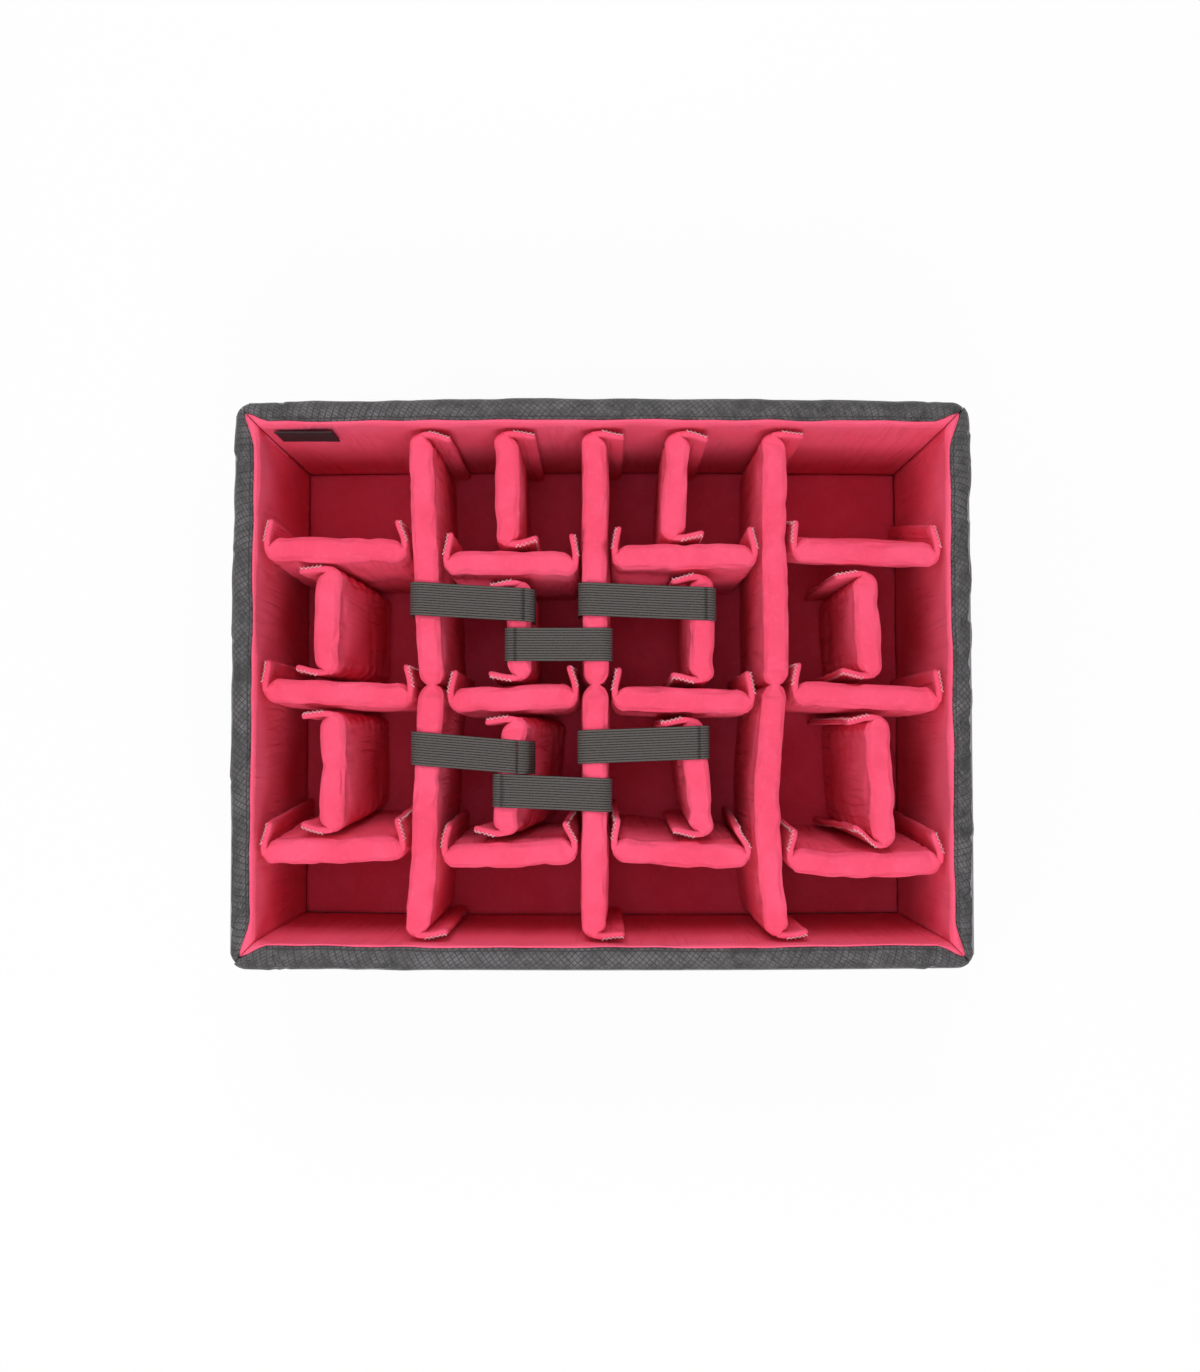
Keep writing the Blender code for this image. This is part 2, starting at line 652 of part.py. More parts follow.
def make_straps(home):
    for number in range(1, len(STRAP_shares) + 1):
        row, column, side, near_x, far_x, near_y, far_y = strap_places(number)
        centre_z = DIVIDER_TOP - PAD_TOP_ROUND
        leg = STRAP_LEG - PAD_TOP_ROUND
        slope = (far_y - near_y) / (far_x - near_x)
        lean = INNER_LENGTH * short_spec(row, column)[4] / DIVIDER_HEIGHT
        pivot = bpy.data.objects.new(f"strap_{number}_hinge", None)
        pivot.location = Vector((near_x, near_y, STRAP_TOP))
        home.objects.link(pivot)

        def near(across, height, width):
            # The anchored end follows the lean of the divider that it is sewn to.
            z = centre_z + height
            x = near_x + side * across
            return Vector((x + lean * max(DIVIDER_TOP - z, 0.0), near_y + slope * (x - near_x) + width, z))

        def far(across, height, width):
            x = far_x - side * across
            return Vector((x, near_y + slope * (x - near_x) + width, centre_z + height))

        low, high = -STRAP_WIDTH / 2, STRAP_WIDTH / 2
        bm = bmesh.new()
        add_band(bm, strap_end(SEAT / 2, 0, leg), near, low, high, STRAP_THICKNESS)
        paint(finish_body(f"strap_{number}_anchor", bm, home, pivot.location, pivot), WEBBING, 0.8)

        # The free band starts at the pivot, spans the gap and hooks over the long divider.
        tab_gap = TAB_THICKNESS + SEAT
        span = -abs(far_x - near_x) + SEAT / 2
        line = strap_end(0, tab_gap, leg)
        line.insert(0, ((span, PAD_TOP_ROUND + SEAT), (0, 1)))
        bm = bmesh.new()
        add_band(bm, line, far, low, high, STRAP_THICKNESS)
        paint(finish_body(f"strap_{number}_band", bm, home, pivot.location, pivot), WEBBING, 0.8)

        # The hook tab lies between the band's free end and the divider's face.
        tab = []
        for depth in (leg - TAB_MARGIN - TAB_LENGTH, leg - TAB_MARGIN):
            tab.append(((pad_face(depth) + SEAT, -depth), (1, 0)))
        bm = bmesh.new()
        add_band(bm, tab, far, low + TAB_MARGIN, high - TAB_MARGIN, TAB_THICKNESS)
        paint(finish_body(f"strap_{number}_tab", bm, home, pivot.location, pivot), LABEL_BLACK, 0.9)


clear_scene()
part_home = collection("padded_case_divider")
tool_home = collection("flap_tools")
make_base(part_home)
make_walls(part_home)
make_label(part_home)
make_long_dividers((part_home, tool_home))
make_row_dividers((part_home, tool_home))
make_short_dividers((part_home, tool_home))
make_straps(part_home)
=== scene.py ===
import json
import math
import random

import bmesh
import bpy
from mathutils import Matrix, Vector, noise

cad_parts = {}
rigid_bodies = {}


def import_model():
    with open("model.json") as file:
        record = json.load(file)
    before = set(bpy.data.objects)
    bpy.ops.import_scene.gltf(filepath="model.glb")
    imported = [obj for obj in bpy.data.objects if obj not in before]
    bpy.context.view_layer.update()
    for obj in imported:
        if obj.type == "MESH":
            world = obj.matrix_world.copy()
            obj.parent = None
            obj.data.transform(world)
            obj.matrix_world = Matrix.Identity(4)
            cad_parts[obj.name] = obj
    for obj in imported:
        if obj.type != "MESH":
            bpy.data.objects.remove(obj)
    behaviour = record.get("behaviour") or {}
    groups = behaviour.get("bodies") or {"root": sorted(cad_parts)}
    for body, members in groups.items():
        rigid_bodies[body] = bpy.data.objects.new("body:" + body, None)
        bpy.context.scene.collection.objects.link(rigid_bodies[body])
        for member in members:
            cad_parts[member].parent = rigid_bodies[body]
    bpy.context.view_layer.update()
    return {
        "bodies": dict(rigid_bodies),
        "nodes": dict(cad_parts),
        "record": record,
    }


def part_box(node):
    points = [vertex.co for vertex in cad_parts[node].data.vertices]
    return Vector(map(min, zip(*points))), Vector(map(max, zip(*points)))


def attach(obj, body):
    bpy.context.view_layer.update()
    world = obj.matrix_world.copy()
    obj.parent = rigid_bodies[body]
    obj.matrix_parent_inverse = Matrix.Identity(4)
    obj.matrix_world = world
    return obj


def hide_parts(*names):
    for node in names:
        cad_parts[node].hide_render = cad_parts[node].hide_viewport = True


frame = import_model()
print("frame loaded:", len(frame["nodes"]), "solids")

mm = 0.001

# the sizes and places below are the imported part's own, in metres
tray = {
    "length": 0.554, "depth": 0.428, "height": 0.200, "longBow": 0.002, "shortBow": 0.0005,
    "longWall": 0.0215, "shortWall": 0.0205,
    "floorTop": 0.0163, "wallFoot": 0.0015, "floorFoot": 0.0043, "lining": 0.0041, "crown": 0.001,
}
divider = {
    "foot": 0.0166, "top": 0.195, "half": 0.0115, "crown": 0.0006, "topRound": 0.0058, "slack": 0.00015,
    "endRound": 0.009, "frontRound": 0.0095, "flap": 0.0046, "reach": 0.0115, "pile": 0.0008,
    "footRound": 0.014, "tipRound": 0.003, "neckThick": 0.005, "neckReach": 0.011,
}
cornerX = tray["length"] / 2 - tray["shortBow"]
cornerY = tray["depth"] / 2 - tray["longBow"]
innerX = tray["length"] - 2 * tray["shortWall"]
innerY = tray["depth"] - 2 * tray["longWall"]
divider["height"] = divider["top"] - divider["foot"]

# back end, fold, front end, then the bow of the back and the front half
longPlaces = ((-0.2671, -0.2495, -0.269, 0.0, 0.002),
              (-0.0117, -0.0101, -0.0117, 0.001, 0.0),
              (0.2525, 0.253, 0.2564, 0.0, -0.0138))
foldY = -0.003 * innerY
# left end, right end, bow and lean, row by row from the back
rowPlaces = (((0.2622, 0.2604, 0.0, -0.0127), (0.2355, 0.2325, 0.0, 0.0),
              (0.2478, 0.2478, -0.002, 0.0), (0.2583, 0.2477, 0.0, 0.0705)),
             ((-0.0138, -0.0237, -0.002, 0.0), (-0.0365, -0.0222, 0.0, 0.0),
              (-0.028, -0.0375, 0.0, 0.0), (-0.0178, -0.0333, 0.0, 0.0)),
             ((-0.329, -0.3181, -0.002, 0.0333), (-0.3326, -0.3212, -0.0078, 0.0127),
              (-0.3153, -0.3337, -0.0088, 0.0235), (-0.3368, -0.3446, -0.0137, 0.0264)))
# row and column: place, turn and lean
shortPlaces = {(1, 2): (-0.1402, -0.002, 0.0), (1, 3): (0.1084, 0.004, 0.0),
               (2, 1): (-0.4015, 0.002, 0.0257), (2, 2): (-0.1208, 0.0, 0.0),
               (2, 3): (0.1455, 0.0, 0.0), (2, 4): (0.3887, -0.004, 0.0),
               (3, 1): (-0.3937, 0.0, 0.0158), (3, 2): (-0.1351, 0.009, 0.0495),
               (3, 3): (0.1377, -0.0092, 0.0), (3, 4): (0.4055, -0.005, -0.0139)}
# row, column, long divider, then the anchored and the free end
strapPlaces = ((2, 2, 1, 0.80, 0.91), (2, 3, 2, 0.84, 0.93), (2, 2, 2, 0.05, 0.05),
               (3, 2, 1, 0.65, 0.77), (3, 3, 2, 0.81, 0.75), (3, 2, 2, 0.11, 0.05))


class Wire:
    # one socket of a node tree, with plain arithmetic on it
    def __init__(self, tree, socket=None):
        self.tree, self.socket = tree, socket

    def node(self, kind, settings=None, sockets=None, out=0):
        made = self.tree.nodes.new(kind)
        for key, value in (settings or {}).items():
            setattr(made, key, value)
        for key, value in (sockets or {}).items():
            if isinstance(value, Wire):
                self.tree.links.new(value.socket, made.inputs[key])
            else:
                made.inputs[key].default_value = value
        return Wire(self.tree, made.outputs[out])

    def math(self, operation, first, second=0.0):
        return self.node("ShaderNodeMath", {"operation": operation}, {0: first, 1: second})

    def __add__(self, other):
        return self.math("ADD", self, other)

    def __radd__(self, other):
        return self.math("ADD", other, self)

    def __sub__(self, other):
        return self.math("SUBTRACT", self, other)

    def __rsub__(self, other):
        return self.math("SUBTRACT", other, self)

    def __mul__(self, other):
        return self.math("MULTIPLY", self, other)

    def __rmul__(self, other):
        return self.math("MULTIPLY", other, self)

    def sine(self):
        return self.math("SINE", self)

    def size(self):
        return self.math("ABSOLUTE", self)

    def between(self, low, high):
        # 0 at low and 1 at high, eased
        return self.node("ShaderNodeMapRange", {"interpolation_type": "SMOOTHSTEP"},
                         {"Value": self, "From Min": low, "From Max": high})


def startMaterial(name):
    made = bpy.data.materials.new(name)
    made.use_nodes = True
    return made, made.node_tree.nodes["Principled BSDF"], Wire(made.node_tree)


def plug(wire, shader, name):
    wire.tree.links.new(wire.socket, shader.inputs[name])


def setSockets(shader, **values):
    # plain values of a shader's sockets, by the socket's name with _ for each space
    for key, value in values.items():
        shader.inputs[key.replace("_", " ")].default_value = value


def split(kit, vector):
    parts = kit.node("ShaderNodeSeparateXYZ", {}, {"Vector": vector})
    return [Wire(kit.tree, out) for out in parts.socket.node.outputs]


def clothPlace(kit):
    # along and up the piece's own cloth map, in metres
    return split(kit, kit.node("ShaderNodeUVMap", {"uv_map": "cloth"}))[:2]


def objectPlace(kit):
    return kit.node("ShaderNodeTexCoord", out=3)


def grain(kit, coords, scale, detail=3.0, rough=0.5):
    return kit.node("ShaderNodeTexNoise", {}, {"Vector": coords, "Scale": scale, "Detail": detail,
                                              "Roughness": rough})


def mixColour(kit, factor, first, second):
    return kit.node("ShaderNodeMix", {"data_type": "RGBA"}, {0: factor, 6: first, 7: second}, 2)


def bumpOf(kit, height, distance, strength, under=None):
    sockets = {"Height": height, "Distance": distance, "Strength": strength}
    if under is not None:
        sockets["Normal"] = under
    return kit.node("ShaderNodeBump", {}, sockets)


# folded is the colour of the painted shade in the creases, and streakShade is how much of it there is
liningLook = {
    "lit": (0.95, 0.100, 0.196, 1), "shade": (0.90, 0.076, 0.156, 1), "pale": (0.98, 0.145, 0.262, 1),
    "rough": 0.95, "sheen": 0.20, "napScale": 1100.0, "napDepth": 0.00025, "creaseDepth": 0.0012,
    "streakScale": 80.0, "streakDepth": 0.0030, "streakShade": 0.38, "folded": (0.66, 0.040, 0.090, 1),
    "weave": 5200.0, "hooks": 2900.0, "hookTone": (1.0, 0.42, 0.52, 1), "hookShare": 0.75,
    "sheenTint": (1.0, 0.30, 0.42, 1), "sheenRough": 0.6, "shine": 0.15,
}


def creases(kit, across, up, place, scale):
    # soft creases that run up an upright face: high where the cloth stands proud, low in a crease; the
    # second value marks the crease lines, in patches, which get painted shade
    upright = 1.0 - split(kit, kit.node("ShaderNodeTexCoord", out=1))[2].size().between(0.12, 0.45)
    x, y = split(kit, place)[:2]
    spot = kit.node("ShaderNodeCombineXYZ", {}, {"X": across * scale, "Y": up * (scale * 0.085),
                                                 "Z": x * 3.0 + y * 7.0})
    wide = grain(kit, spot, 1.0, 2.0, 0.5)
    fold = (wide - 0.5).size().between(0.0, 0.09)
    patch = grain(kit, place, 16.0, 2.0).between(0.40, 0.64)
    return wide * upright, (1.0 - fold) * patch * upright


def makeLining(name, look, hooks=False):
    made, shader, kit = startMaterial(name)
    place = objectPlace(kit)
    across, up = clothPlace(kit)
    blotch = grain(kit, place, 22.0, 4.0, 0.6)
    speck = grain(kit, place, 260.0, 2.0, 0.6)
    nap = grain(kit, place, look["napScale"], 2.0, 0.7)
    weave = (across * look["weave"]).sine() * (up * look["weave"]).sine()
    tone = mixColour(kit, blotch.between(0.34, 0.68), look["shade"], look["lit"])
    tone = mixColour(kit, speck.between(0.52, 0.80) * 0.35, tone, look["pale"])
    wide, fold = creases(kit, across, up, place, look["streakScale"])
    # painted shade: the crease lines are darkened towards the folded tone
    tone = mixColour(kit, fold * look["streakShade"], tone, look["folded"])
    height = nap * 0.7 + weave * 0.3
    if hooks:
        dots = (across * look["hooks"]).sine() * (up * look["hooks"]).sine()
        tuft = dots.between(0.0, 0.8) * grain(kit, place, 420.0, 2.0).between(0.35, 0.6)
        tone = mixColour(kit, tuft * look["hookShare"], tone, look["hookTone"])
        height = height + tuft
    plug(tone, shader, "Base Color")
    drawnUp = kit.node("ShaderNodeMapping", {}, {"Vector": place, "Scale": (1, 1, 0.35)})
    folds = grain(kit, drawnUp, 34.0, 3.0)
    soft = bumpOf(kit, folds, look["creaseDepth"], 0.5)
    drawn = bumpOf(kit, wide - fold * 0.35, look["streakDepth"], 0.8, soft)
    plug(bumpOf(kit, height, look["napDepth"], 0.8, drawn), shader, "Normal")
    setSockets(shader, Roughness=look["rough"], Specular_IOR_Level=look["shine"], Sheen_Weight=look["sheen"],
               Sheen_Roughness=look["sheenRough"], Sheen_Tint=look["sheenTint"])
    return made


nylonLook = {
    "dark": (0.022, 0.019, 0.021, 1), "light": (0.138, 0.126, 0.135, 1), "line": (0.003, 0.003, 0.003, 1),
    "diamond": 0.0052, "lineWidth": 0.50, "weave": 0.0014, "rough": 0.38, "crinkle": 0.0050, "shine": 0.5,
}


def makeNylon(name, look):
    made, shader, kit = startMaterial(name)
    place = objectPlace(kit)
    across, up = clothPlace(kit)
    turn = math.pi / look["diamond"]
    ridgeA = ((across + up) * turn).sine().size()
    ridgeB = ((across - up) * turn).sine().size()
    lines = 1.0 - ridgeA.math("MINIMUM", ridgeA, ridgeB).between(0.0, look["lineWidth"])
    fine = 2 * math.pi / look["weave"]
    weave = ((across * fine).sine() * (up * fine).sine()) * 0.5 + 0.5
    blotch = grain(kit, place, 26.0, 4.0, 0.6)
    crumple = grain(kit, place, 85.0, 4.0, 0.6)
    # painted highlight and shade: the grey is the nylon's own, but its lighter and darker patches, which
    # follow the crumpled bump and broad patches, stand in for the light and shade of its wrinkles
    tone = mixColour(kit, blotch.between(0.36, 0.66) * 0.50 + crumple.between(0.38, 0.64) * 0.50,
                     look["dark"], look["light"])
    tone = mixColour(kit, (1.0 - weave) * 0.35, tone, look["line"])
    tone = mixColour(kit, lines * (blotch.between(0.30, 0.60) * 0.28 + 0.70), tone, look["line"])
    plug(tone, shader, "Base Color")
    plug(blotch.between(0.2, 0.8) * 0.16 + look["rough"] - 0.06, shader, "Roughness")
    soft = bumpOf(kit, crumple, look["crinkle"], 0.9)
    plug(bumpOf(kit, weave * 0.5 - lines, 0.00022, 0.8, soft), shader, "Normal")
    setSockets(shader, Specular_IOR_Level=look["shine"])
    return made


webLook = {"rib": (0.104, 0.093, 0.087, 1), "grooveShade": (0.006, 0.005, 0.005, 1), "ribs": 13, "knit": 5200.0,
           "rough": 0.85, "shine": 0.2}


def makeWebbing(name, look, dim=1.0):
    made, shader, kit = startMaterial(name)
    place = objectPlace(kit)
    along, across = clothPlace(kit)
    ribs = (across * (math.pi * look["ribs"])).sine().size()
    knit = (along * look["knit"] + (across * 40.0).sine()).sine() * 0.5 + 0.5
    fuzz = grain(kit, place, 900.0, 3.0, 0.7)
    rib = tuple(c * dim for c in look["rib"][:3]) + (1,)
    # painted shade: the grooves between the ribs are painted near black
    tone = mixColour(kit, ribs.between(0.22, 0.80), look["grooveShade"], rib)
    tone = mixColour(kit, knit * fuzz.between(0.4, 0.7) * 0.45, tone, tuple(c * 1.6 for c in rib[:3]) + (1,))
    plug(tone, shader, "Base Color")
    plug(bumpOf(kit, ribs * 0.6 + knit * 0.3 + fuzz * 0.3, 0.0003, 0.8), shader, "Normal")
    setSockets(shader, Roughness=look["rough"], Specular_IOR_Level=look["shine"])
    return made


def makeGrained(name, first, second, scale, detail, rough, depth):
    made, shader, kit = startMaterial(name)
    spots = grain(kit, objectPlace(kit), scale, detail)
    plug(mixColour(kit, spots.between(0.35, 0.65), first, second), shader, "Base Color")
    plug(bumpOf(kit, spots, depth, 0.6), shader, "Normal")
    setSockets(shader, Roughness=rough)
    return made


def makeThread(name, colour):
    dark = tuple(c * 0.85 for c in colour[:3]) + (1,)
    return makeGrained(name, dark, colour, 1500.0, 2.0, 0.6, 0.0001)


labelLook = {"dark": (0.010, 0.009, 0.010, 1), "light": (0.034, 0.031, 0.034, 1), "ribs": 7000.0,
             "picks": 4200.0, "slant": 3500.0, "depth": 0.00012, "rough": 0.6}


def makeWoven(name, look):
    # a close satin weave
    made, shader, kit = startMaterial(name)
    across, up = clothPlace(kit)
    ribs = (up * look["ribs"]).sine() * 0.5 + 0.5
    picks = (across * look["picks"] + up * look["slant"]).sine() * 0.5 + 0.5
    plug(mixColour(kit, ribs * picks, look["dark"], look["light"]), shader, "Base Color")
    plug(bumpOf(kit, ribs * 0.5 + picks * 0.5, look["depth"], 0.7), shader, "Normal")
    setSockets(shader, Roughness=look["rough"])
    return made


lining = makeLining("pinkLoopLining", liningLook)
# painted light: the walls' lining is the same cloth in paler lit and shade tones, standing in for the light
# that reaches the walls; its creases are also shallower and fainter
wallLiningPaintedLight = makeLining("pinkWallLiningPaintedLight", {
    **liningLook, "lit": (0.98, 0.128, 0.235, 1), "shade": (0.95, 0.105, 0.200, 1),
    "streakDepth": 0.0018, "streakShade": 0.18})
hookFace = makeLining("pinkHookTape", liningLook, hooks=True)
nylon = makeNylon("greyRipstop", nylonLook)
webbing = makeWebbing("ribbedElastic", webLook)
hookTab = makeWebbing("darkHookTape", webLook, 0.45)
paleThread = makeThread("paleThread", (1.0, 0.66, 0.72, 1))
pinkThread = makeThread("pinkThread", (0.80, 0.10, 0.18, 1))
darkThread = makeThread("darkThread", (0.03, 0.03, 0.032, 1))
boardSheet = makeGrained("boardSheet", (0.16, 0.16, 0.17, 1), (0.22, 0.22, 0.23, 1), 60.0, 3.0, 0.5,
                         0.0002)
labelCloth = makeWoven("wovenLabel", labelLook)
print("materials made")


# where walls, dividers and straps run, from the places above
def bulge(along, half, bow):
    return bow * (1 - (along / half) ** 2)


def spread(low, high, count=9):
    return [low + (high - low) * i / (count - 1) for i in range(count)]


def wallFaceX(ys):
    return min(cornerX + bulge(y, cornerY, tray["shortBow"]) for y in ys) - tray["shortWall"] - tray["crown"]


def wallFaceY(xs):
    return min(cornerY + bulge(x, cornerX, tray["longBow"]) for x in xs) - tray["longWall"] - tray["crown"]


def fall(height):
    return max(divider["top"] - height, 0.0) / divider["height"]


def longX(column, y):
    back, fold, front, backBow, frontBow = longPlaces[column - 1]
    end, bow = (back, backBow) if y > foldY else (front, frontBow)
    t = min(abs(y - foldY) / (innerY / 2), 1.0)
    return innerX * (fold + (end - fold) * t + bow * 4 * t * (1 - t))


def rowLean(row, column):
    return innerY * rowPlaces[row - 1][column - 1][3]


def rowY(row, column, x, height=divider["top"]):
    left, right, bow, lean = rowPlaces[row - 1][column - 1]
    low = longX(column - 1, 0) if column > 1 else -innerX / 2
    high = longX(column, 0) if column < 4 else innerX / 2
    t = min(max((x - low) / (high - low), 0.0), 1.0)
    return innerY * (left + (right - left) * t + bow * 4 * t * (1 - t) + lean * fall(height))


def rowEnd(row, column, side):
    half, reach, pile = divider["half"], divider["reach"], divider["pile"]
    middle = innerY * rowPlaces[row - 1][column - 1][(side + 1) // 2]
    lean = rowLean(row, column)
    ys = spread(middle - half + min(lean, 0), middle + half + reach + max(lean, 0))
    neighbour = column - 1 if side < 0 else column
    if neighbour in (0, 4):
        return side * (wallFaceX(ys) - pile)
    faces = [longX(neighbour, y) - side * half for y in ys]
    return min(faces) - pile if side > 0 else max(faces) + pile


def flapSide(row):
    return 1 if row == 1 else -1


def shortEnd(row, column, side):
    half, reach, pile = divider["half"], divider["reach"], divider["pile"]
    place, turn, lean = shortPlaces[(row, column)]
    middle = innerX * (place + side * turn)
    sign = flapSide(row)
    reaches = [middle - sign * half, middle + sign * (half + reach)]
    reaches += [x + innerX * lean for x in reaches]
    xs = spread(min(reaches), max(reaches))
    if side > 0 and row == 1:
        return wallFaceY(xs) - pile
    if side > 0:
        return min(rowY(row - 1, column, x) for x in xs) - half - pile
    return max(rowY(row, column, x) for x in xs) + half + pile


def shortLean(row, column, side):
    if side < 0:
        return max(rowLean(row, column), 0)
    return min(rowLean(row - 1, column), 0) if row > 1 else 0


def shortX(row, column, y, height):
    place, turn, lean = shortPlaces[(row, column)]
    front, back = shortEnd(row, column, -1), shortEnd(row, column, 1)
    t = 2 * (y - front) / (back - front) - 1
    return innerX * (place + turn * t + lean * fall(height))


def wave(a, b, seed):
    # smooth noise from 0 to 1
    return 0.5 + 0.5 * max(-1.0, min(1.0, 1.6 * noise.noise(Vector((a, b, seed * 7.31)))))


def ease(t):
    t = min(max(t, 0.0), 1.0)
    return t * t * (3 - 2 * t)


def rounding(distance, radius):
    inside = radius - min(max(distance, 0.0), radius)
    return radius - math.sqrt(max(radius ** 2 - inside ** 2, 0.0))


def lengthAlong(points):
    out = [0.0]
    for a, b in zip(points, points[1:]):
        out.append(out[-1] + math.hypot(b[0] - a[0], b[1] - a[1]))
    return out


def show(name, data):
    made = bpy.data.objects.new(name, data)
    bpy.context.scene.collection.objects.link(made)
    return made


def hand(piece, body, node, slot, fill=None):
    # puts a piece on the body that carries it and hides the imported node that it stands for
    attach(piece, body)
    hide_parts(node)


def makeBody(name, points, faces, corners, materials, kinds=None):
    # a smooth closed mesh whose UV map, given face by face, is in metres
    mesh = bpy.data.meshes.new(name)
    mesh.from_pydata(points, [], faces)
    layer = mesh.uv_layers.new(name="cloth")
    layer.data.foreach_set("uv", [c for face in corners for uv in face for c in uv])
    for material in materials:
        mesh.materials.append(material)
    mesh.polygons.foreach_set("material_index", kinds or [0] * len(faces))
    mesh.polygons.foreach_set("use_smooth", [True] * len(faces))
    mesh.validate()
    bm = bmesh.new()
    bm.from_mesh(mesh)
    bmesh.ops.recalc_face_normals(bm, faces=bm.faces)
    bm.to_mesh(mesh)
    bm.free()
    return show(name, mesh)


def skinRings(name, rings, uvs, materials, faceMaterial=None):
    # joins closed rings with equal counts into a closed body
    count = len(rings[0])
    faces, corners, kinds = [], [], []
    for r in range(len(rings) - 1):
        for i in range(count):
            j = (i + 1) % count
            faces.append((r * count + i, r * count + j, (r + 1) * count + j, (r + 1) * count + i))
            four = [uvs[r][i], uvs[r][j], uvs[r + 1][j], uvs[r + 1][i]]
            if j == 0:
                # the last face of a ring runs on, and not back over the whole map
                four[1:3] = [(u, uvs[r][i][1] + 0.0005) for u, v in four[1:3]]
            corners.append(four)
            kinds.append(faceMaterial(r, i) if faceMaterial else 0)
    for r in (0, len(rings) - 1):
        base = r * count
        for i in range(count // 2):
            a, b, c, d = base + i, base + i + 1, base + count - 2 - i, base + count - 1 - i
            quad = [a, b, c, d] if c != b else [a, b, d]
            if len(set(quad)) < 3:
                continue
            if r == 0:
                quad = quad[::-1]
            faces.append(quad)
            corners.append([uvs[r][q - base] for q in quad])
            kinds.append(0)
    points = [tuple(p) for ring in rings for p in ring]
    return makeBody(name, points, faces, corners, materials, kinds)


padLook = {
    "spacing": 0.0046, "rise": 0.0058, "dent": 0.0011, "ripple": 0.0006, "streak": 0.0003, "endDent": 0.0006,
    "sway": 0.0009, "topDip": 0.0016, "endDrop": 0.0025, "neckDrop": 0.004, "footRound": 0.003,
    "seamDepth": 0.0007, "fill": 0.75,
}
flapLook = {"ripple": 0.0016, "curl": 0.0024, "footGap": 0.001, "root": 0.004, "hookFrom": 0.12}
neckSteps = (-1, -0.8, -0.6, -0.4, -0.24, -0.1, 0, 0.1, 0.24, 0.4, 0.6, 0.8, 1)
# what each divider does of its own accord: flap leans inward at the top and at the foot
# of its near (left or front) and far end, in mm, and how deep its top seam is
habits = {
    "row_divider_1_1": {"near": (2, 1), "far": (3, 2)},
    "row_divider_1_2": {"near": (2, 1), "far": (1, 1), "edgeWave": 1.4},
    "row_divider_1_3": {"near": (1, 2), "far": (2, 1), "seam": 0.7},
    "row_divider_2_3": {"near": (2, 1), "far": (2, 1), "seam": 0.5},
    "row_divider_3_1": {"near": (3, 1), "far": (3, 1), "seam": 1.0, "edgeWave": 1.3},
    "row_divider_3_2": {"near": (1, 0), "far": (6, 2), "seam": 0.3},
    "row_divider_3_3": {"near": (1, 0), "far": (7, 3), "seam": 0.9},
    "row_divider_3_4": {"near": (2, 0), "far": (4, 2), "seam": 1.0},
    "short_divider_1_2": {"near": (2, 4), "far": (1, 2)},
    "short_divider_1_3": {"near": (2, 1), "far": (3, 1)},
    "short_divider_3_4": {"near": (12, 1), "far": (2, 1)},
}


def endRungs():
    # cuts through one end from the flap's tip to the full pad, as (front point, back point,
    # flap share), with points as (distance in from the outer plane, across)
    half, thick = divider["half"] - divider["slack"], divider["flap"]
    front, back = divider["frontRound"], divider["endRound"]
    tip, root = divider["half"] + divider["reach"], flapLook["root"]
    rungs = []
    for edge, width in ((0.0, 0.25), (0.0003, 0.62), (0.0010, 0.90), (0.0022, 1.0), (0.0042, 1.0),
                        (0.0070, 1.0), (0.0102, 1.0), (0.0140, 1.0), (0.0168, 1.0)):
        across = tip - edge
        near = thick / 2 * (1 - width)
        rungs.append(((near, across), (thick - near, across), max((across - root) / (tip - root), 0.0)))
    rungs.append(((0.0, 0.0030), (thick + 0.0002, 0.0036), 0.0))
    for i in range(9):
        a, b = math.radians(180 + 90 * i / 8), math.radians(168 - 78 * i / 8)
        rungs.append(((front + front * math.cos(a), -half + front + front * math.sin(a)),
                      (thick + back + back * math.cos(b), half - back + back * math.sin(b)), 0.0))
    return rungs


def padRungs(start, end, neck):
    # every cut along a divider, as (front, back, flap share, end side)
    ends = endRungs()
    spacing, reach = padLook["spacing"], divider["neckReach"]
    half, thin = divider["half"] - divider["slack"], divider["neckThick"] / 2
    inner = max(ends[-1][0][0], ends[-1][1][0]) + spacing
    low, high = start + inner, end - inner
    places = spread(low, high, max(int(round((high - low) / spacing)), 3) + 1)
    if neck is not None:
        places = [p for p in places if abs(p - neck) > reach + spacing / 2]
        places = sorted(places + [neck + reach * s for s in neckSteps])
    rungs = [((start + f[0], f[1]), (start + b[0], b[1]), share, -1) for f, b, share in ends]
    for along in places:
        w = half
        if neck is not None and abs(along - neck) < reach:
            w = thin + (half - thin) * math.sqrt(1 - (1 - abs(along - neck) / reach) ** 2)
        rungs.append(((along, -w), (along, w), 0.0, 0))
    return rungs + [((end - f[0], f[1]), (end - b[0], b[1]), share, 1) for f, b, share in reversed(ends)]


def padColumn(edge, crown, tall):
    # half a cut from foot to crest, as (across, height, part), where part is 0 at the foot, 1 on
    # the face and 2 over the top edge; then the height of the top seam
    topRound = min(divider["topRound"], edge * 0.96)
    footRound = min(padLook["footRound"], edge * 0.8)
    span = tall - topRound - footRound
    rise = int(divider["height"] / padLook["rise"])
    column = [(edge - footRound, 0.0, 0), (edge - footRound * 0.3, footRound * 0.3, 0)]
    for i in range(rise + 1):
        s = i / rise
        column.append((edge + crown * math.sin(math.pi * s) ** 0.8, footRound + span * s, 1))
    shoulder = footRound + span
    for i in range(1, 7):
        a = math.radians(15 * i)
        column.append((edge - topRound + topRound * math.cos(a), shoulder + topRound * math.sin(a), 2))
    return column, shoulder + topRound * math.sqrt(0.5)


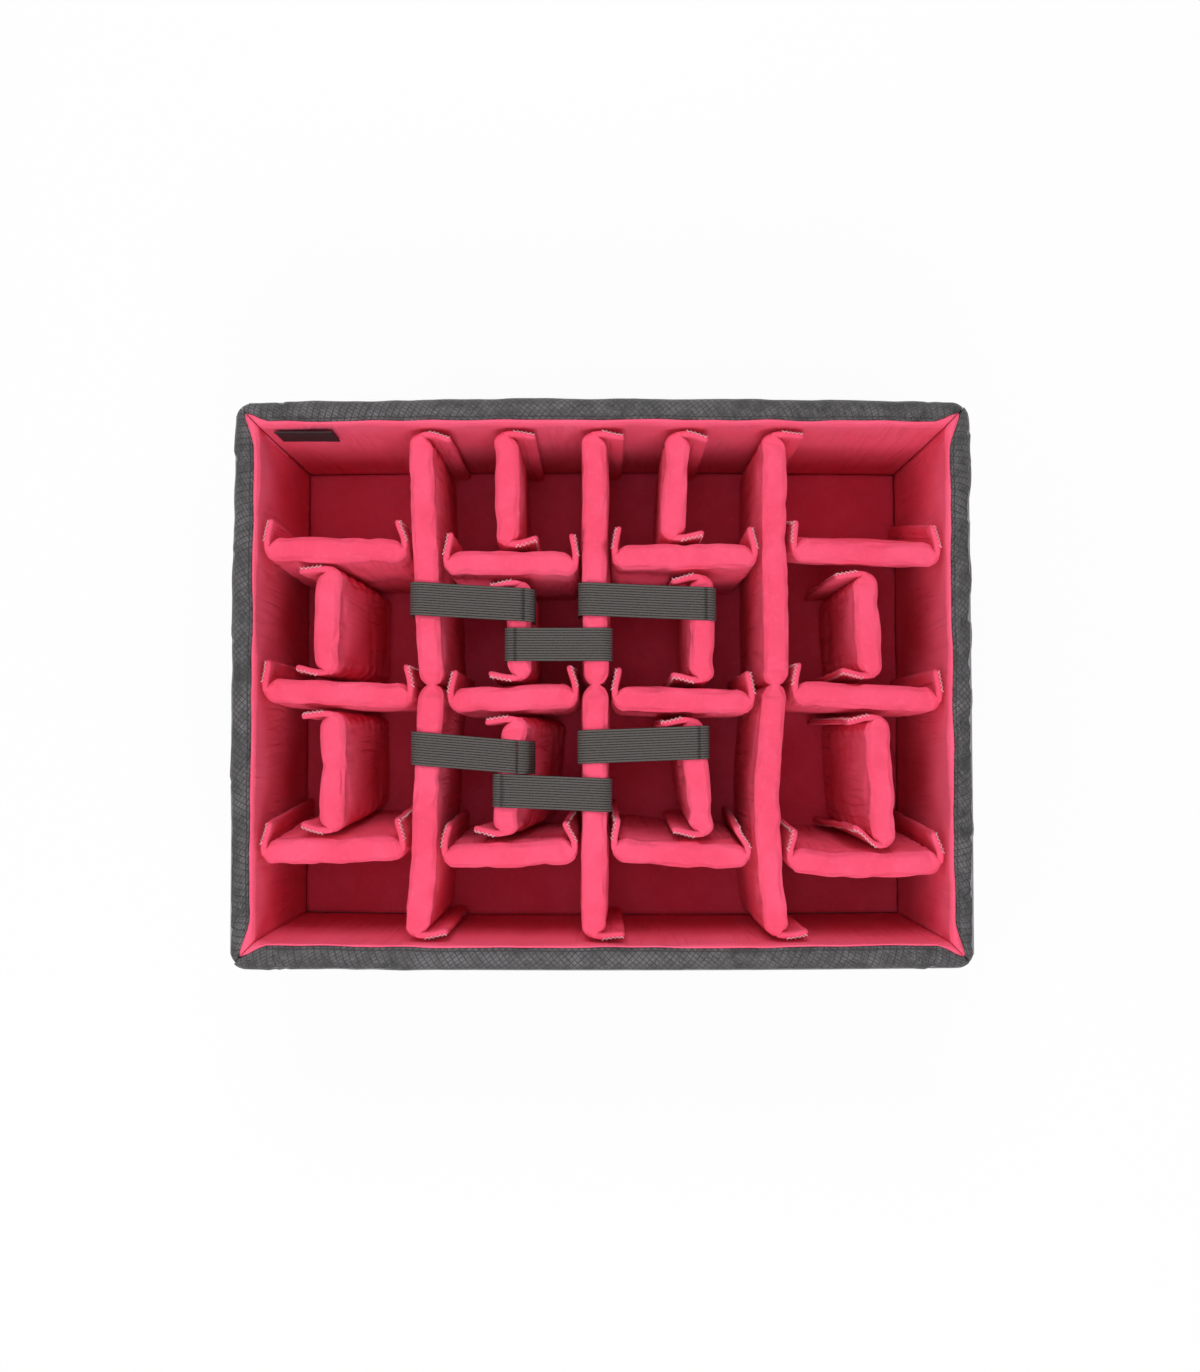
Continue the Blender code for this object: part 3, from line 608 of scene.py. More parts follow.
def padDent(x, z, key, toEnd, seed):
    # how far the soft face lies in at one place; the key tells the two faces apart
    dent = padLook["dent"] * wave(x / 0.042, z / 0.055 + key, seed)
    dent += padLook["ripple"] * wave(x / 0.016, z / 0.040 + key, seed + 2)
    dent += padLook["streak"] * wave(x / 0.0065, z / 0.10 + key, seed + 4)
    near = 1 - ease((toEnd - 0.012) / 0.03)
    return dent + padLook["endDent"] * near * wave(x / 0.012 + z / 0.02, z / 0.05 + key, seed + 6)


def flapLean(side, share, level, z, across, leans, seed):
    # how far a flap leans in from its wall
    w = ease(share * 1.1)
    top, foot = leans[side]
    lean = (top * ease(level) + foot * (1 - ease(level))) * mm * w
    lean += flapLook["ripple"] * wave(z / 0.024, across / 0.02, seed + 12 + side) * w
    return lean + flapLook["curl"] * wave(0.3, side, seed + 14) * ease(share - 0.35) * ease(level * 6 - 5)


def buildDivider(name, place, start, end, neck, seed):
    habit = habits.get(name, {})
    rng = random.Random(seed)
    leans = {-1: habit.get("near", (rng.uniform(0.3, 2.4), rng.uniform(0, 1.6))),
             1: habit.get("far", (rng.uniform(0.3, 2.4), rng.uniform(0, 1.6)))}
    seam, edgeWave = habit.get("seam", 0.0), habit.get("edgeWave", 0.7)
    rungs = padRungs(start, end, neck)
    rings, uvs, run, last = [], [], 0.0, None
    for front, back, share, side in rungs:
        f, b = Vector(front), Vector(back)
        middle, width, out = (f + b) / 2, (b - f).length, (b - f).normalized()
        if last is not None:
            run += (middle - last).length
        last = middle
        pad = ease((width - 0.0045) / 0.012)
        toEnd = min(middle.x - start, end - middle.x)
        crest = divider["top"] - padLook["topDip"] * wave(middle.x / 0.05, 1.3, seed) * pad
        crest -= padLook["endDrop"] * (1 - ease(toEnd / 0.020)) * (1 if share == 0 else 0.8)
        if neck is not None:
            crest -= padLook["neckDrop"] * (1 - ease(abs(middle.x - neck) / 0.013))
        base = divider["foot"]
        if share > 0:
            gap = divider["half"] + divider["reach"] - middle.y
            base += flapLook["footGap"] + rounding(gap, divider["footRound"])
            crest -= rounding(gap, divider["tipRound"])
        crown = divider["crown"] * pad
        column, seamAt = padColumn(width / 2 - crown, crown, crest - base)
        ring, flat = [], []
        for sign, (across, rising, part) in [(-1, p) for p in column] + [(1, p) for p in column[-2::-1]]:
            z = base + rising
            key = 3.1 if sign < 0 else 9.7
            level = (z - divider["foot"]) / divider["height"]
            dent = padDent(middle.x, z, key, toEnd, seed)
            if part == 2 or level > 0.9:
                ragged = edgeWave * mm * 0.6 * wave(middle.x / 0.013, key, seed + 8)
                dent += ragged * ease((level - 0.86) / 0.1)
            offset = sign * max(across - dent * pad * min(across / 0.004, 1.0), 0.0)
            p = middle + out * offset
            sway = padLook["sway"] * (2 * wave(middle.x / 0.07, z / 0.08, seed + 10) - 1) * pad
            p.y += sway * ease(toEnd / 0.03)
            if seam and sign < 0 and part == 2 and abs(rising - seamAt) < 0.0006:
                z -= padLook["seamDepth"] * seam * pad
            if share > 0:
                p.x -= side * flapLean(side, share, level, z, middle.y, leans, seed)
            ring.append(place(p.x, p.y, z))
            flat.append((offset, rising))
        rings.append(ring)
        uvs.append([(run, v) for v in lengthAlong(flat)])

    def faceKind(r, i):
        return int(rungs[r][2] > flapLook["hookFrom"] and 2 < i < len(column) - 5)

    made = skinRings(name + "_pad", rings, uvs, (lining, hookFace), faceKind)
    return name, made, rings, rungs, len(column)


# the cover is slack on its foam: it is blown up a little and folds where it is sewn down
coverLook = {
    "frames": 14, "quality": 4, "mass": 0.2, "stretch": 12.0, "shear": 6.0, "bend": 0.12, "damping": 2.0,
    "pressure": 4.0, "slack": -0.05, "foam": 0.10, "corner": 0.30, "seam": 0.22,
    "mostIn": 0.0018, "mostOut": 0.0003, "mostAside": 0.0012,
}


def holdCover(made, rings, rungs, column):
    # foot and flaps are sewn fast, and elsewhere the cover only clings to its foam
    group = made.vertex_groups.new(name="held")
    count = len(rings[0])
    for r, (front, back, share, side) in enumerate(rungs):
        for i in range(count):
            step = min(i, count - 1 - i)
            grip = coverLook["corner"] if side else coverLook["foam"]
            if step >= column - 7:
                grip = max(grip, coverLook["seam"])
            if share > 0 or step < 3:
                grip = 1.0
            group.add([r * count + i], grip, "REPLACE")
    folded = made.modifiers.new("cover", "CLOTH")
    cloth = folded.settings
    cloth.quality, cloth.mass = coverLook["quality"], coverLook["mass"]
    cloth.air_damping = coverLook["damping"]
    cloth.tension_stiffness = cloth.compression_stiffness = coverLook["stretch"]
    cloth.shear_stiffness, cloth.bending_stiffness = coverLook["shear"], coverLook["bend"]
    cloth.vertex_group_mass = "held"
    cloth.use_pressure, cloth.uniform_pressure_force = True, coverLook["pressure"]
    cloth.shrink_min = cloth.shrink_max = coverLook["slack"]
    cloth.effector_weights.gravity = 0.0
    folded.collision_settings.use_collision = False
    folded.point_cache.frame_start, folded.point_cache.frame_end = 1, coverLook["frames"]


def takeCover(made):
    # keeps the folds, but within the room that the divider has
    graph = bpy.context.evaluated_depsgraph_get()
    copy = made.evaluated_get(graph).to_mesh()
    moved = [v.co.copy() for v in copy.vertices]
    made.evaluated_get(graph).to_mesh_clear()
    for v, spot in zip(made.data.vertices, moved):
        move = spot - v.co
        outward = move.dot(v.normal)
        aside = move - v.normal * outward
        if aside.length > coverLook["mostAside"]:
            aside *= coverLook["mostAside"] / aside.length
        v.co += aside + v.normal * min(max(outward, -coverLook["mostIn"]), coverLook["mostOut"])
    made.modifiers.clear()
    made.vertex_groups.clear()


def smoothBody(made):
    # one finer level of faces, kept as a plain mesh
    made.modifiers.new("finer", "SUBSURF").levels = 1
    graph = bpy.context.evaluated_depsgraph_get()
    finer = bpy.data.meshes.new_from_object(made.evaluated_get(graph))
    made.modifiers.clear()
    old = made.data
    finer.name = old.name + "_fine"
    made.data = finer
    bpy.data.meshes.remove(old)


def settleCovers(jobs):
    for name, *job in jobs:
        holdCover(*job)
    for tick in range(1, coverLook["frames"] + 1):
        bpy.context.scene.frame_set(tick)
    for job in jobs:
        takeCover(job[1])
    bpy.context.scene.frame_set(1)
    for name, made, *rest in jobs:
        smoothBody(made)
        hand(made, bodiesOf[name], name, "lining", padLook["fill"])


def longPlan(column):
    def place(along, across, height):
        return Vector((longX(column, along) + across, along, height))

    ends = []
    for side in (-1, 1):
        middle = longX(column, side * innerY / 2)
        xs = spread(middle - divider["half"], middle + divider["half"] + divider["reach"])
        ends.append(side * (wallFaceY(xs) - divider["pile"]))
    return f"long_divider_{column}", place, *ends, foldY


def rowPlan(row, column):
    def place(along, across, height):
        return Vector((along, rowY(row, column, along, height) + across, height))

    return f"row_divider_{row}_{column}", place, rowEnd(row, column, -1), rowEnd(row, column, 1), None


def shortPlan(row, column):
    start, end = shortEnd(row, column, -1), shortEnd(row, column, 1)
    front, back = shortLean(row, column, -1), shortLean(row, column, 1)

    def place(along, across, height):
        t = (along - start) / (end - start)
        x = shortX(row, column, along, height) + flapSide(row) * across
        return Vector((x, along + fall(height) * (front + (back - front) * t), height))

    return f"short_divider_{row}_{column}", place, start, end, None


bodiesOf = {n: b for b, o in frame["bodies"].items() for n in frame["record"]["behaviour"]["bodies"][b]}
plans = [longPlan(column) for column in (1, 2, 3)]
plans += [rowPlan(row, column) for row in (1, 2, 3) for column in (1, 2, 3, 4)]
plans += [shortPlan(row, column) for row, column in shortPlaces]
coverJobs = [buildDivider(*plan, 11 + 17 * i) for i, plan in enumerate(plans)]
settleCovers(coverJobs)
print("dividers made")


wallLook = {
    "along": 0.004, "outerRoundIn": 0.012, "outerRoundDown": 0.010, "seamDip": 0.0012, "seamWidth": 0.0022,
    "pucker": 0.0012, "cornerRound": 0.013, "cover": 0.001, "bead": 0.0065, "beadUnder": 0.0022,
    "gap": 0.0003, "mostOut": -0.0018, "mostIn": 0.0004, "rimIn": 0.0014, "fill": 0.6,
}
longWall = {"half": cornerX, "reach": cornerY, "thick": tray["longWall"], "other": tray["shortWall"],
            "bow": tray["longBow"], "pucker": 0.6, "foldEnd": 0.0085, "foldTaper": 0.012}
shortWall = {"half": cornerY, "reach": cornerX, "thick": tray["shortWall"], "other": tray["longWall"],
             "bow": tray["shortBow"], "fold": 0.016, "foldEnd": 0.0075, "foldTaper": 0.022}
# what each wall does of its own accord; a pleat is its place along the rim, slant and depth in mm
walls = {
    "back": {**longWall, "along": Vector((1, 0, 0)), "out": Vector((0, 1, 0)), "seed": 3, "fold": 0.0166,
             "lean": (-0.0013, 0.0006), "skew": 0.0,
             "pleats": ((0.252, 0.5, 1.5), (-0.247, -0.6, 1.8), (0.02, 0.3, 0.8), (-0.05, -0.2, 0.6))},
    "front": {**longWall, "along": Vector((-1, 0, 0)), "out": Vector((0, -1, 0)), "seed": 5, "fold": 0.0183,
              "lean": (0.0012, -0.0006), "skew": -0.0009,
              "pleats": ((0.249, 0.8, 2.0), (0.241, 0.6, 1.2), (-0.252, -0.9, 1.8), (-0.06, 0.3, 0.5))},
    "left": {**shortWall, "along": Vector((0, 1, 0)), "out": Vector((-1, 0, 0)), "seed": 7, "pucker": 1.2,
             "lean": (-0.0006, 0.0), "skew": -0.0006,
             "pleats": ((0.176, 0.8, 1.8), (-0.172, -0.5, 1.5), (-0.184, 0.4, 1.2), (0.10, 0.5, 0.9),
                        (0.03, -0.4, 0.8), (-0.07, 0.4, 0.9))},
    "right": {**shortWall, "along": Vector((0, -1, 0)), "out": Vector((1, 0, 0)), "seed": 9, "pucker": 1.9,
              "lean": (0.0, 0.0), "skew": 0.0016,
              "pleats": tuple((-0.185 + 0.0235 * i + 0.006 * math.sin(3.7 * i), 0.7 * math.cos(2.1 * i), 1.3)
                              for i in range(17))},
}
# the nylon is never drawn in further than the boards behind it allow
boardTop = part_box("stiffener_front")[1].z


def foldAt(wall, along):
    # the nylon's inner edge draws back towards the outer corner at each end
    gap = wall["half"] - abs(along)
    inner = wall["fold"] + 0.0007 * (2 * wave(along / 0.03, 2.2, wall["seed"]) - 1)
    return wall["foldEnd"] + (inner - wall["foldEnd"]) * ease(gap / wall["foldTaper"]) ** 0.7


def pleatAt(wall, along, depth):
    # the sharp little folds that the sewn nylon draws into, slanting across the rim
    total = 0.0
    for place, slant, size in wall["pleats"]:
        off = along - place - slant * (depth - wall["fold"] / 2)
        total += size * (math.exp(-(off / 0.0016) ** 2) - 0.35 * math.exp(-((off - 0.0045) / 0.0035) ** 2))
    return total * mm


def rimDrop(wall, along, depth):
    # how far the rim's skin lies under the full height, at a depth in from the outer face
    drop = 0.0
    roundIn, roundDown = wallLook["outerRoundIn"], wallLook["outerRoundDown"]
    if depth < roundIn:
        drop += roundDown * (1 - math.sqrt(max(1 - (1 - depth / roundIn) ** 2, 0.0)))
    fold = foldAt(wall, along)
    drop += wallLook["seamDip"] * math.exp(-((depth - fold) / wallLook["seamWidth"]) ** 2)
    crease = wave(along / 0.011 + depth / 0.03, depth / 0.02, wall["seed"] + 1)
    broad = wave(along / 0.035, depth / 0.03, wall["seed"] + 2)
    drop += wallLook["pucker"] * wall["pucker"] * (0.55 * crease + 0.45 * broad)
    if depth < fold:
        drop += pleatAt(wall, along, depth) * ease((fold - depth) / 0.004)
    return drop


def outerDraw(wall, along, height):
    # how far the nylon's outer face is drawn in
    s = wall["seed"]
    near = ease((height - 0.12) / 0.07)
    middle, corner = wall["lean"]
    t = (along / wall["half"]) ** 2
    draw = (middle * (1 - t) + corner * t + wall["skew"] * along / wall["half"]) * near
    draw += 0.0018 * wall["pucker"] * (wave(along / 0.024, height / 0.05, s + 4) - 0.5) * near
    draw += 0.0012 * (wave(along / 0.060, height / 0.05, s + 5) - 0.5)
    draw += 0.0004 * (wave(along / 0.013, height / 0.03, s + 6) - 0.5)
    draw += 0.4 * pleatAt(wall, along, 0.0) * near
    most = wallLook["mostIn"] + (wallLook["rimIn"] - wallLook["mostIn"]) * ease((height - boardTop) / 0.004)
    return min(max(draw, wallLook["mostOut"]), most)


def roundCorner(x, y):
    # draws square outer corners into round ones, inside which everything follows
    radius = wallLook["cornerRound"]
    a = abs(x) - (cornerX - radius)
    b = abs(y) - (cornerY - radius)
    if a <= 0 or b <= 0:
        return x, y
    scale = max(a, b) / math.hypot(a, b)
    return (math.copysign(cornerX - radius + a * scale, x), math.copysign(cornerY - radius + b * scale, y))


def wallPoint(wall, share, depth, height):
    # a point of a wall, with the mitre at its ends
    place = share * (wall["half"] - depth * wall["other"] / wall["thick"] - wallLook["gap"])
    far = wall["reach"] + bulge(place, wall["half"], wall["bow"]) - depth
    p = wall["along"] * place + wall["out"] * far
    return Vector((*roundCorner(p.x, p.y), height))


def wallRing(wall, share, profile):
    # a cut through a wall, from a profile of (depth, height), with its place in the cloth map
    ring = [wallPoint(wall, share, depth, height) for depth, height in profile]
    return ring, [(share * wall["half"], v) for v in lengthAlong(profile)]


def wallShares(wall):
    # cuts from one end to the other, closer near the ends
    count = int(wall["half"] * 2 / wallLook["along"])
    return [math.copysign(abs(t) ** 0.93, t) for t in (2 * i / count - 1 for i in range(count + 1))]


def buildCover(side):
    wall = walls[side]
    tall, thick, foot = tray["height"], wallLook["cover"], tray["wallFoot"]
    rise, steps = 26, 16
    cuts = []
    for share in wallShares(wall):
        along = share * wall["half"]
        fold = foldAt(wall, along)
        outer = []
        for i in range(rise + 1):
            h = foot + (tall - wallLook["outerRoundDown"] - 0.002 - foot) * i / rise
            outer.append((outerDraw(wall, along, h), h))
        base = outerDraw(wall, along, tall - 0.01)
        for i in range(1, steps + 1):
            t = i / steps
            d = fold * t ** 1.5
            outer.append((base * (1 - t) + d, tall - rimDrop(wall, along, d)))
        inner = [(min(d + thick, fold - 0.0002), h - (thick if h > tall - 0.02 else 0)) for d, h in outer]
        inner[-1] = (fold - 0.0001, outer[-1][1] - thick)
        cuts.append(wallRing(wall, share, outer + inner[::-1]))
    made = skinRings("outer_cover_" + side + "_skin", *zip(*cuts), (nylon,))
    hand(made, "tray", "outer_cover_" + side, "nylon")


def faceDepth(wall, along, height):
    # the lining's inner face: a soft crown with slow waves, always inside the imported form
    low, high = tray["floorTop"], tray["height"] - 0.006
    t = (height - low) / (high - low)
    s = wall["seed"]
    dent = 0.0014 * wave(along / 0.07, height / 0.06, s + 20)
    dent += 0.0009 * wave(along / 0.022, height / 0.09, s + 21)
    dent += 0.0003 * wave(along / 0.008, height / 0.12, s + 22)
    dent *= 0.25 + 0.75 * ease(t * 7)
    return wall["thick"] + tray["crown"] * math.sin(math.pi * min(max(t, 0), 1)) ** 0.7 - dent


def buildPadding(side):
    wall = walls[side]
    tall, bead = tray["height"], wallLook["bead"]
    cuts = []
    for share in wallShares(wall):
        along = share * wall["half"]
        fold = foldAt(wall, along)
        profile = [(tray["lining"], tray["floorFoot"]), (tray["lining"], tall - 0.012)]
        for d in (fold - 0.0012, fold - 0.0004):
            height = tall - rimDrop(wall, along, d) - wallLook["beadUnder"]
            profile.append((max(d, tray["lining"] + 0.0002), height))
        start = fold + 0.0001
        for d in spread(start, max(wall["thick"] - bead, start + 0.001), 7):
            profile.append((d, tall - rimDrop(wall, along, d)))
        crestIn, crest = profile[-1]
        reach = faceDepth(wall, along, tall - 0.008) - crestIn
        for i in range(1, 6):
            a = math.radians(18 * i)
            profile.append((crestIn + reach * math.sin(a), crest - bead * (1 - math.cos(a))))
        for h in spread(profile[-1][1], tray["floorTop"], 35)[1:]:
            profile.append((faceDepth(wall, along, h), h))
        profile.append((wall["thick"] - 0.001, tray["floorFoot"]))
        ring, uv = wallRing(wall, share, profile)
        # one more point makes the ring even, so that its ends close in quads
        cuts.append((ring + [(ring[-1] + ring[0]) / 2], uv + [(along, uv[-1][1] + 0.01)]))
    made = skinRings("wall_padding_" + side + "_lining", *zip(*cuts), (wallLiningPaintedLight,))
    hand(made, "tray", "wall_padding_" + side, "lining", wallLook["fill"])


def gridBody(name, halfX, halfY, low, topOf, cells, material):
    # a flat cushion or plate: a top grid, a flat underside and a wall round it
    nx, ny = cells
    wide = nx + 1
    tops, faces = [], []
    for j in range(ny + 1):
        for i in range(nx + 1):
            a, b = 2 * i / nx - 1, 2 * j / ny - 1
            x, y = roundCorner(a * (halfX + bulge(b, 1, tray["shortBow"])),
                               b * (halfY + bulge(a, 1, tray["longBow"])))
            tops.append((x, y, topOf(x, y, a, b)))
    points = tops + [(x, y, low) for x, y, z in tops]
    base = len(tops)
    for j in range(ny):
        for i in range(nx):
            q = [j * wide + i, j * wide + i + 1, (j + 1) * wide + i + 1, (j + 1) * wide + i]
            faces += [q, [base + k for k in reversed(q)]]
    rim = list(range(wide)) + [j * wide + nx for j in range(1, ny + 1)]
    rim += [ny * wide + i for i in range(nx - 1, -1, -1)] + [j * wide for j in range(ny - 1, 0, -1)]
    faces += [(a, base + a, base + b, b) for a, b in zip(rim, rim[1:] + rim[:1])]
    return makeBody(name, points, faces, [[points[k][:2] for k in face] for face in faces], (material,))


def floorTop(x, y, a, b):
    edge = min(1 - abs(a), 1 - abs(b))
    z = tray["floorTop"] - 0.0014 * wave(x / 0.05, y / 0.05, 40)
    drift = 0.9 * wave(x / 0.09, y / 0.09, 42)
    fold = 1 - abs(2 * wave(x / 0.034 + y / 0.05 + drift, y / 0.075 - x / 0.11, 41) - 1)
    rumpled = ease((-0.11 - x) / 0.05) * ease((y - 0.09) / 0.04)  # the back left room's floor lies loosest
    z -= (0.0040 + 0.0035 * rumpled) * fold ** 4 * wave(x / 0.06, y / 0.06, 43)
    sink = 0.010 + 0.050 * wave(x / 0.045, y / 0.045, 44) ** 2
    return z - 0.0007 * (1 - math.sqrt(max(1 - (1 - min(edge / sink, 1)) ** 2, 0)))


gap = wallLook["gap"]
floorPad = gridBody("floor_padding_lining", cornerX - tray["shortWall"] - gap,
                    cornerY - tray["longWall"] - gap, tray["floorFoot"], floorTop, (180, 134), lining)
hand(floorPad, "tray", "floor_padding", "lining", wallLook["fill"])
baseSkin = gridBody("base_cover_skin", cornerX - gap, cornerY - gap, 0.0, lambda x, y, a, b: 0.0012,
                    (90, 70), nylon)
hand(baseSkin, "tray", "base_cover", "nylon")
for side in walls:
    buildCover(side)
    buildPadding(side)
# the boards inside keep their packed form
for name, node in frame["nodes"].items():
    if name.startswith("stiffener"):
        node.data.materials.clear()
        node.data.materials.append(boardSheet)
print("walls, rims and floor made")


def buildLabel():
    low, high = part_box("label")
    nx, nz = 22, 16
    rings, uvs = [], []
    for i, x in enumerate(spread(low.x, high.x, nx + 1)):
        front, back, uv = [], [], []
        for k, z in enumerate(spread(low.z, high.z, nz + 1)):
            edge = 0.0003 if min(i, nx - i, k, nz - k) == 0 else 0
            lift = 0.0003 * wave(x / 0.012, z / 0.012, 50) - edge
            front.append(Vector((x, low.y + 0.0002 - lift * 0.5, z)))
            back.append(Vector((x, high.y, z)))
            uv.append((x, z))
        rings.append(front + back[::-1])
        uvs.append(uv + uv[::-1])
    hand(skinRings("label_cloth", rings, uvs, (labelCloth,)), "tray", "label", "label")


buildLabel()


strapLook = {
    "width": 0.025, "thick": 0.0016, "leg": 0.030, "bend": 0.008, "gap": 0.0003, "start": 0.00015,
    "lap": 0.0017, "sag": 0.0012, "ribs": 13, "ribDepth": 0.00035, "tabLength": 0.017, "tabFromEnd": 0.0008,
    "tabNarrow": 0.0016, "tabThick": 0.0014,
}


def strapRoom(row, longColumn):
    columns = (longColumn, longColumn + 1)
    x = longX(longColumn, 0)
    low = max(rowY(row, c, x) for c in columns) + divider["half"] + divider["reach"]
    high = min(rowY(row - 1, c, x) for c in columns) - divider["half"]
    return low + strapLook["width"] / 2, high - strapLook["width"] / 2


def ribbonBody(name, line, place, width, thick, material):
    # a strip along a line of (point, outward normal), ribbed on its outer side
    ribs = strapLook["ribs"]
    cells = ribs * 4
    rings, uvs = [], []
    for ((across, height), (nx, nz)), run in zip(line, lengthAlong([p for p, normal in line])):
        outer, inner, uv = [], [], []
        for k in range(cells + 1):
            t = k / cells
            w = (t - 0.5) * width
            rib = abs(math.sin(math.pi * ribs * t)) ** 0.6
            lift = thick - strapLook["ribDepth"] * (1 - rib) if 0 < k < cells else thick * 0.45
            outer.append(place(across + lift * nx, height + lift * nz, w))
            inner.append(place(across, height, w))
            uv.append((run, t))
        rings.append(outer + inner[::-1])
        uvs.append(uv + uv[::-1])
    return skinRings(name, rings, uvs, (material,))


def smoothLine(points, step):
    # spaces a polyline evenly, and gives each point its outward normal, up or sideways
    dense = [points[0]]
    for a, b in zip(points, points[1:]):
        gap = math.hypot(b[0] - a[0], b[1] - a[1])
        count = max(int(gap / step), 1)
        for i in range(1, count + 1):
            dense.append((a[0] + (b[0] - a[0]) * i / count, a[1] + (b[1] - a[1]) * i / count))
    out = []
    for i, p in enumerate(dense):
        a, b = dense[max(i - 1, 0)], dense[min(i + 1, len(dense) - 1)]
        dx, dz = b[0] - a[0], b[1] - a[1]
        size = math.hypot(dx, dz)
        out.append((p, (-dz / size, dx / size)))
    return out


def strapFace(depth):
    # how far out a hanging end lies on the pad's crowned face
    run = divider["height"] / 2 - strapLook["bend"]
    return strapLook["bend"] + divider["crown"] * min(depth / run, 1.0) + strapLook["gap"]


def hookLine(first, lap, leg, sag=0.0):
    # the strap's inner line over a pad's top edge, from the middle of the pad outwards
    radius = strapLook["bend"] + strapLook["gap"]
    points = [(first, radius)]
    if sag:
        steps = [i / 12 for i in range(12)]
        points = [(first * (1 - t), radius - sag * math.sin(math.pi * t)) for t in steps]
    for i in range(7):
        a = math.radians(15 * i)
        points.append(((radius + lap * ease(i / 6)) * math.sin(a), radius * math.cos(a)))
    return points + [(strapFace(leg * i / 6) + lap, -leg * i / 6) for i in range(1, 7)]


def buildStrap(number, row, column, longColumn, nearShare, farShare):
    look = strapLook
    low, high = strapRoom(row, longColumn)
    nearY, farY = low + (high - low) * nearShare, low + (high - low) * farShare
    side = 1 if longColumn < column else -1
    w, flat = look["width"] / 2, divider["half"] - divider["crown"] - look["bend"]
    nearX = max(side * shortX(row, column, y, divider["top"]) for y in spread(nearY - w, nearY + w))
    farX = max(-side * longX(longColumn, y) for y in spread(farY - w, farY + w))
    nearX, farX = side * (nearX + flat), -side * (farX + flat)
    slope = (farY - nearY) / (farX - nearX)
    lean = innerX * shortPlaces[(row, column)][2] / divider["height"]
    centre, leg = divider["top"] - look["bend"], look["leg"] - look["bend"]

    def near(across, height, width):
        z = centre + height
        x = nearX + side * across
        return Vector((x + lean * max(divider["top"] - z, 0.0), nearY + slope * (x - nearX) + width, z))

    def far(across, height, width):
        x = farX - side * across
        return Vector((x, nearY + slope * (x - nearX) + width, centre + height))

    anchor = hookLine(look["start"], 0.0, leg)
    band = hookLine(look["start"] - abs(farX - nearX), look["lap"], leg, look["sag"])
    tab = []
    for i in range(8):
        depth = leg - look["tabFromEnd"] - look["tabLength"] * (1 - i / 7)
        tab.append((strapFace(depth), -depth))
    own, short = f"strap_{number}", f"short_divider_{row}_{column}"
    wide, thick = look["width"], look["thick"]
    for node, ending, body, slot, line, step, place, width, depth, material in (
            ("anchor", "web", short, "webbing", anchor, 0.0016, near, wide, thick, webbing),
            ("band", "web", own, "webbing", band, 0.0022, far, wide, thick, webbing),
            ("tab", "hooks", own, "hook_tape", tab, 0.0016, far, wide - look["tabNarrow"], look["tabThick"],
             hookTab)):
        piece = ribbonBody(f"{own}_{node}_{ending}", smoothLine(line[::-1], step), place, width, depth,
                           material)
        hand(piece, body, f"{own}_{node}", slot)


for number, strap in enumerate(strapPlaces, 1):
    buildStrap(number, *strap)
print("straps made")


# pitch and width of the zigzag, the thread's radius and how far it lies off the cloth
overlockLook = {"pitch": 0.0015, "width": 0.0028, "thread": 0.00034, "lift": 0.0005}
flapSeamLook = {"pitch": 0.0022, "width": 0.0005, "thread": 0.00028, "lift": 0.0001, "ring": 6}
nylonSeamLook = {"pitch": 0.0026, "width": 0.0004, "thread": 0.00030, "lift": 0.0002, "fromFold": 0.0024,
                 "fromCorner": 0.0170, "rows": 0.0050, "foot": 0.0070, "top": 0.186}


def zigzagTree():
    # a path's points, spaced evenly and thrown from side to side along its own side vector
    tree = bpy.data.node_groups.new("zigzagThread", "GeometryNodeTree")
    for label, kind in (("Geometry", "Geometry"), ("Pitch", "Float"), ("Width", "Float"),
                        ("Thread Radius", "Float"), ("Thread", "Material")):
        tree.interface.new_socket(label, in_out="INPUT", socket_type="NodeSocket" + kind)
    tree.interface.new_socket("Geometry", in_out="OUTPUT", socket_type="NodeSocketGeometry")
    kit = Wire(tree)
    given = {out.name: Wire(tree, out) for out in tree.nodes.new("NodeGroupInput").outputs}
    path = kit.node("GeometryNodeMeshToCurve", {}, {"Mesh": given["Geometry"]})
    spaced = kit.node("GeometryNodeResampleCurve", {"mode": "LENGTH"},
                      {"Curve": path, "Length": given["Pitch"]})
    index = kit.node("GeometryNodeInputIndex")
    throw = (index.math("MODULO", index, 2.0) - 0.5) * given["Width"]
    side = kit.node("GeometryNodeInputNamedAttribute", {"data_type": "FLOAT_VECTOR"}, {"Name": "side"})
    shift = kit.node("ShaderNodeVectorMath", {"operation": "SCALE"}, {0: side, "Scale": throw})
    thrown = kit.node("GeometryNodeSetPosition", {}, {"Geometry": spaced, "Offset": shift})
    ring = kit.node("GeometryNodeCurvePrimitiveCircle", {},
                    {"Resolution": 4, "Radius": given["Thread Radius"]})
    tube = kit.node("GeometryNodeCurveToMesh", {},
                    {"Curve": thrown, "Profile Curve": ring, "Fill Caps": True})
    real = kit.node("GeometryNodeRealizeInstances", {}, {"Geometry": tube})
    paint = kit.node("GeometryNodeSetMaterial", {}, {"Geometry": real, "Material": given["Thread"]})
    plug(paint, tree.nodes.new("NodeGroupOutput"), "Geometry")
    return tree


zigzag = zigzagTree()
threadKeys = {item.name: item.identifier for item in zigzag.interface.items_tree}


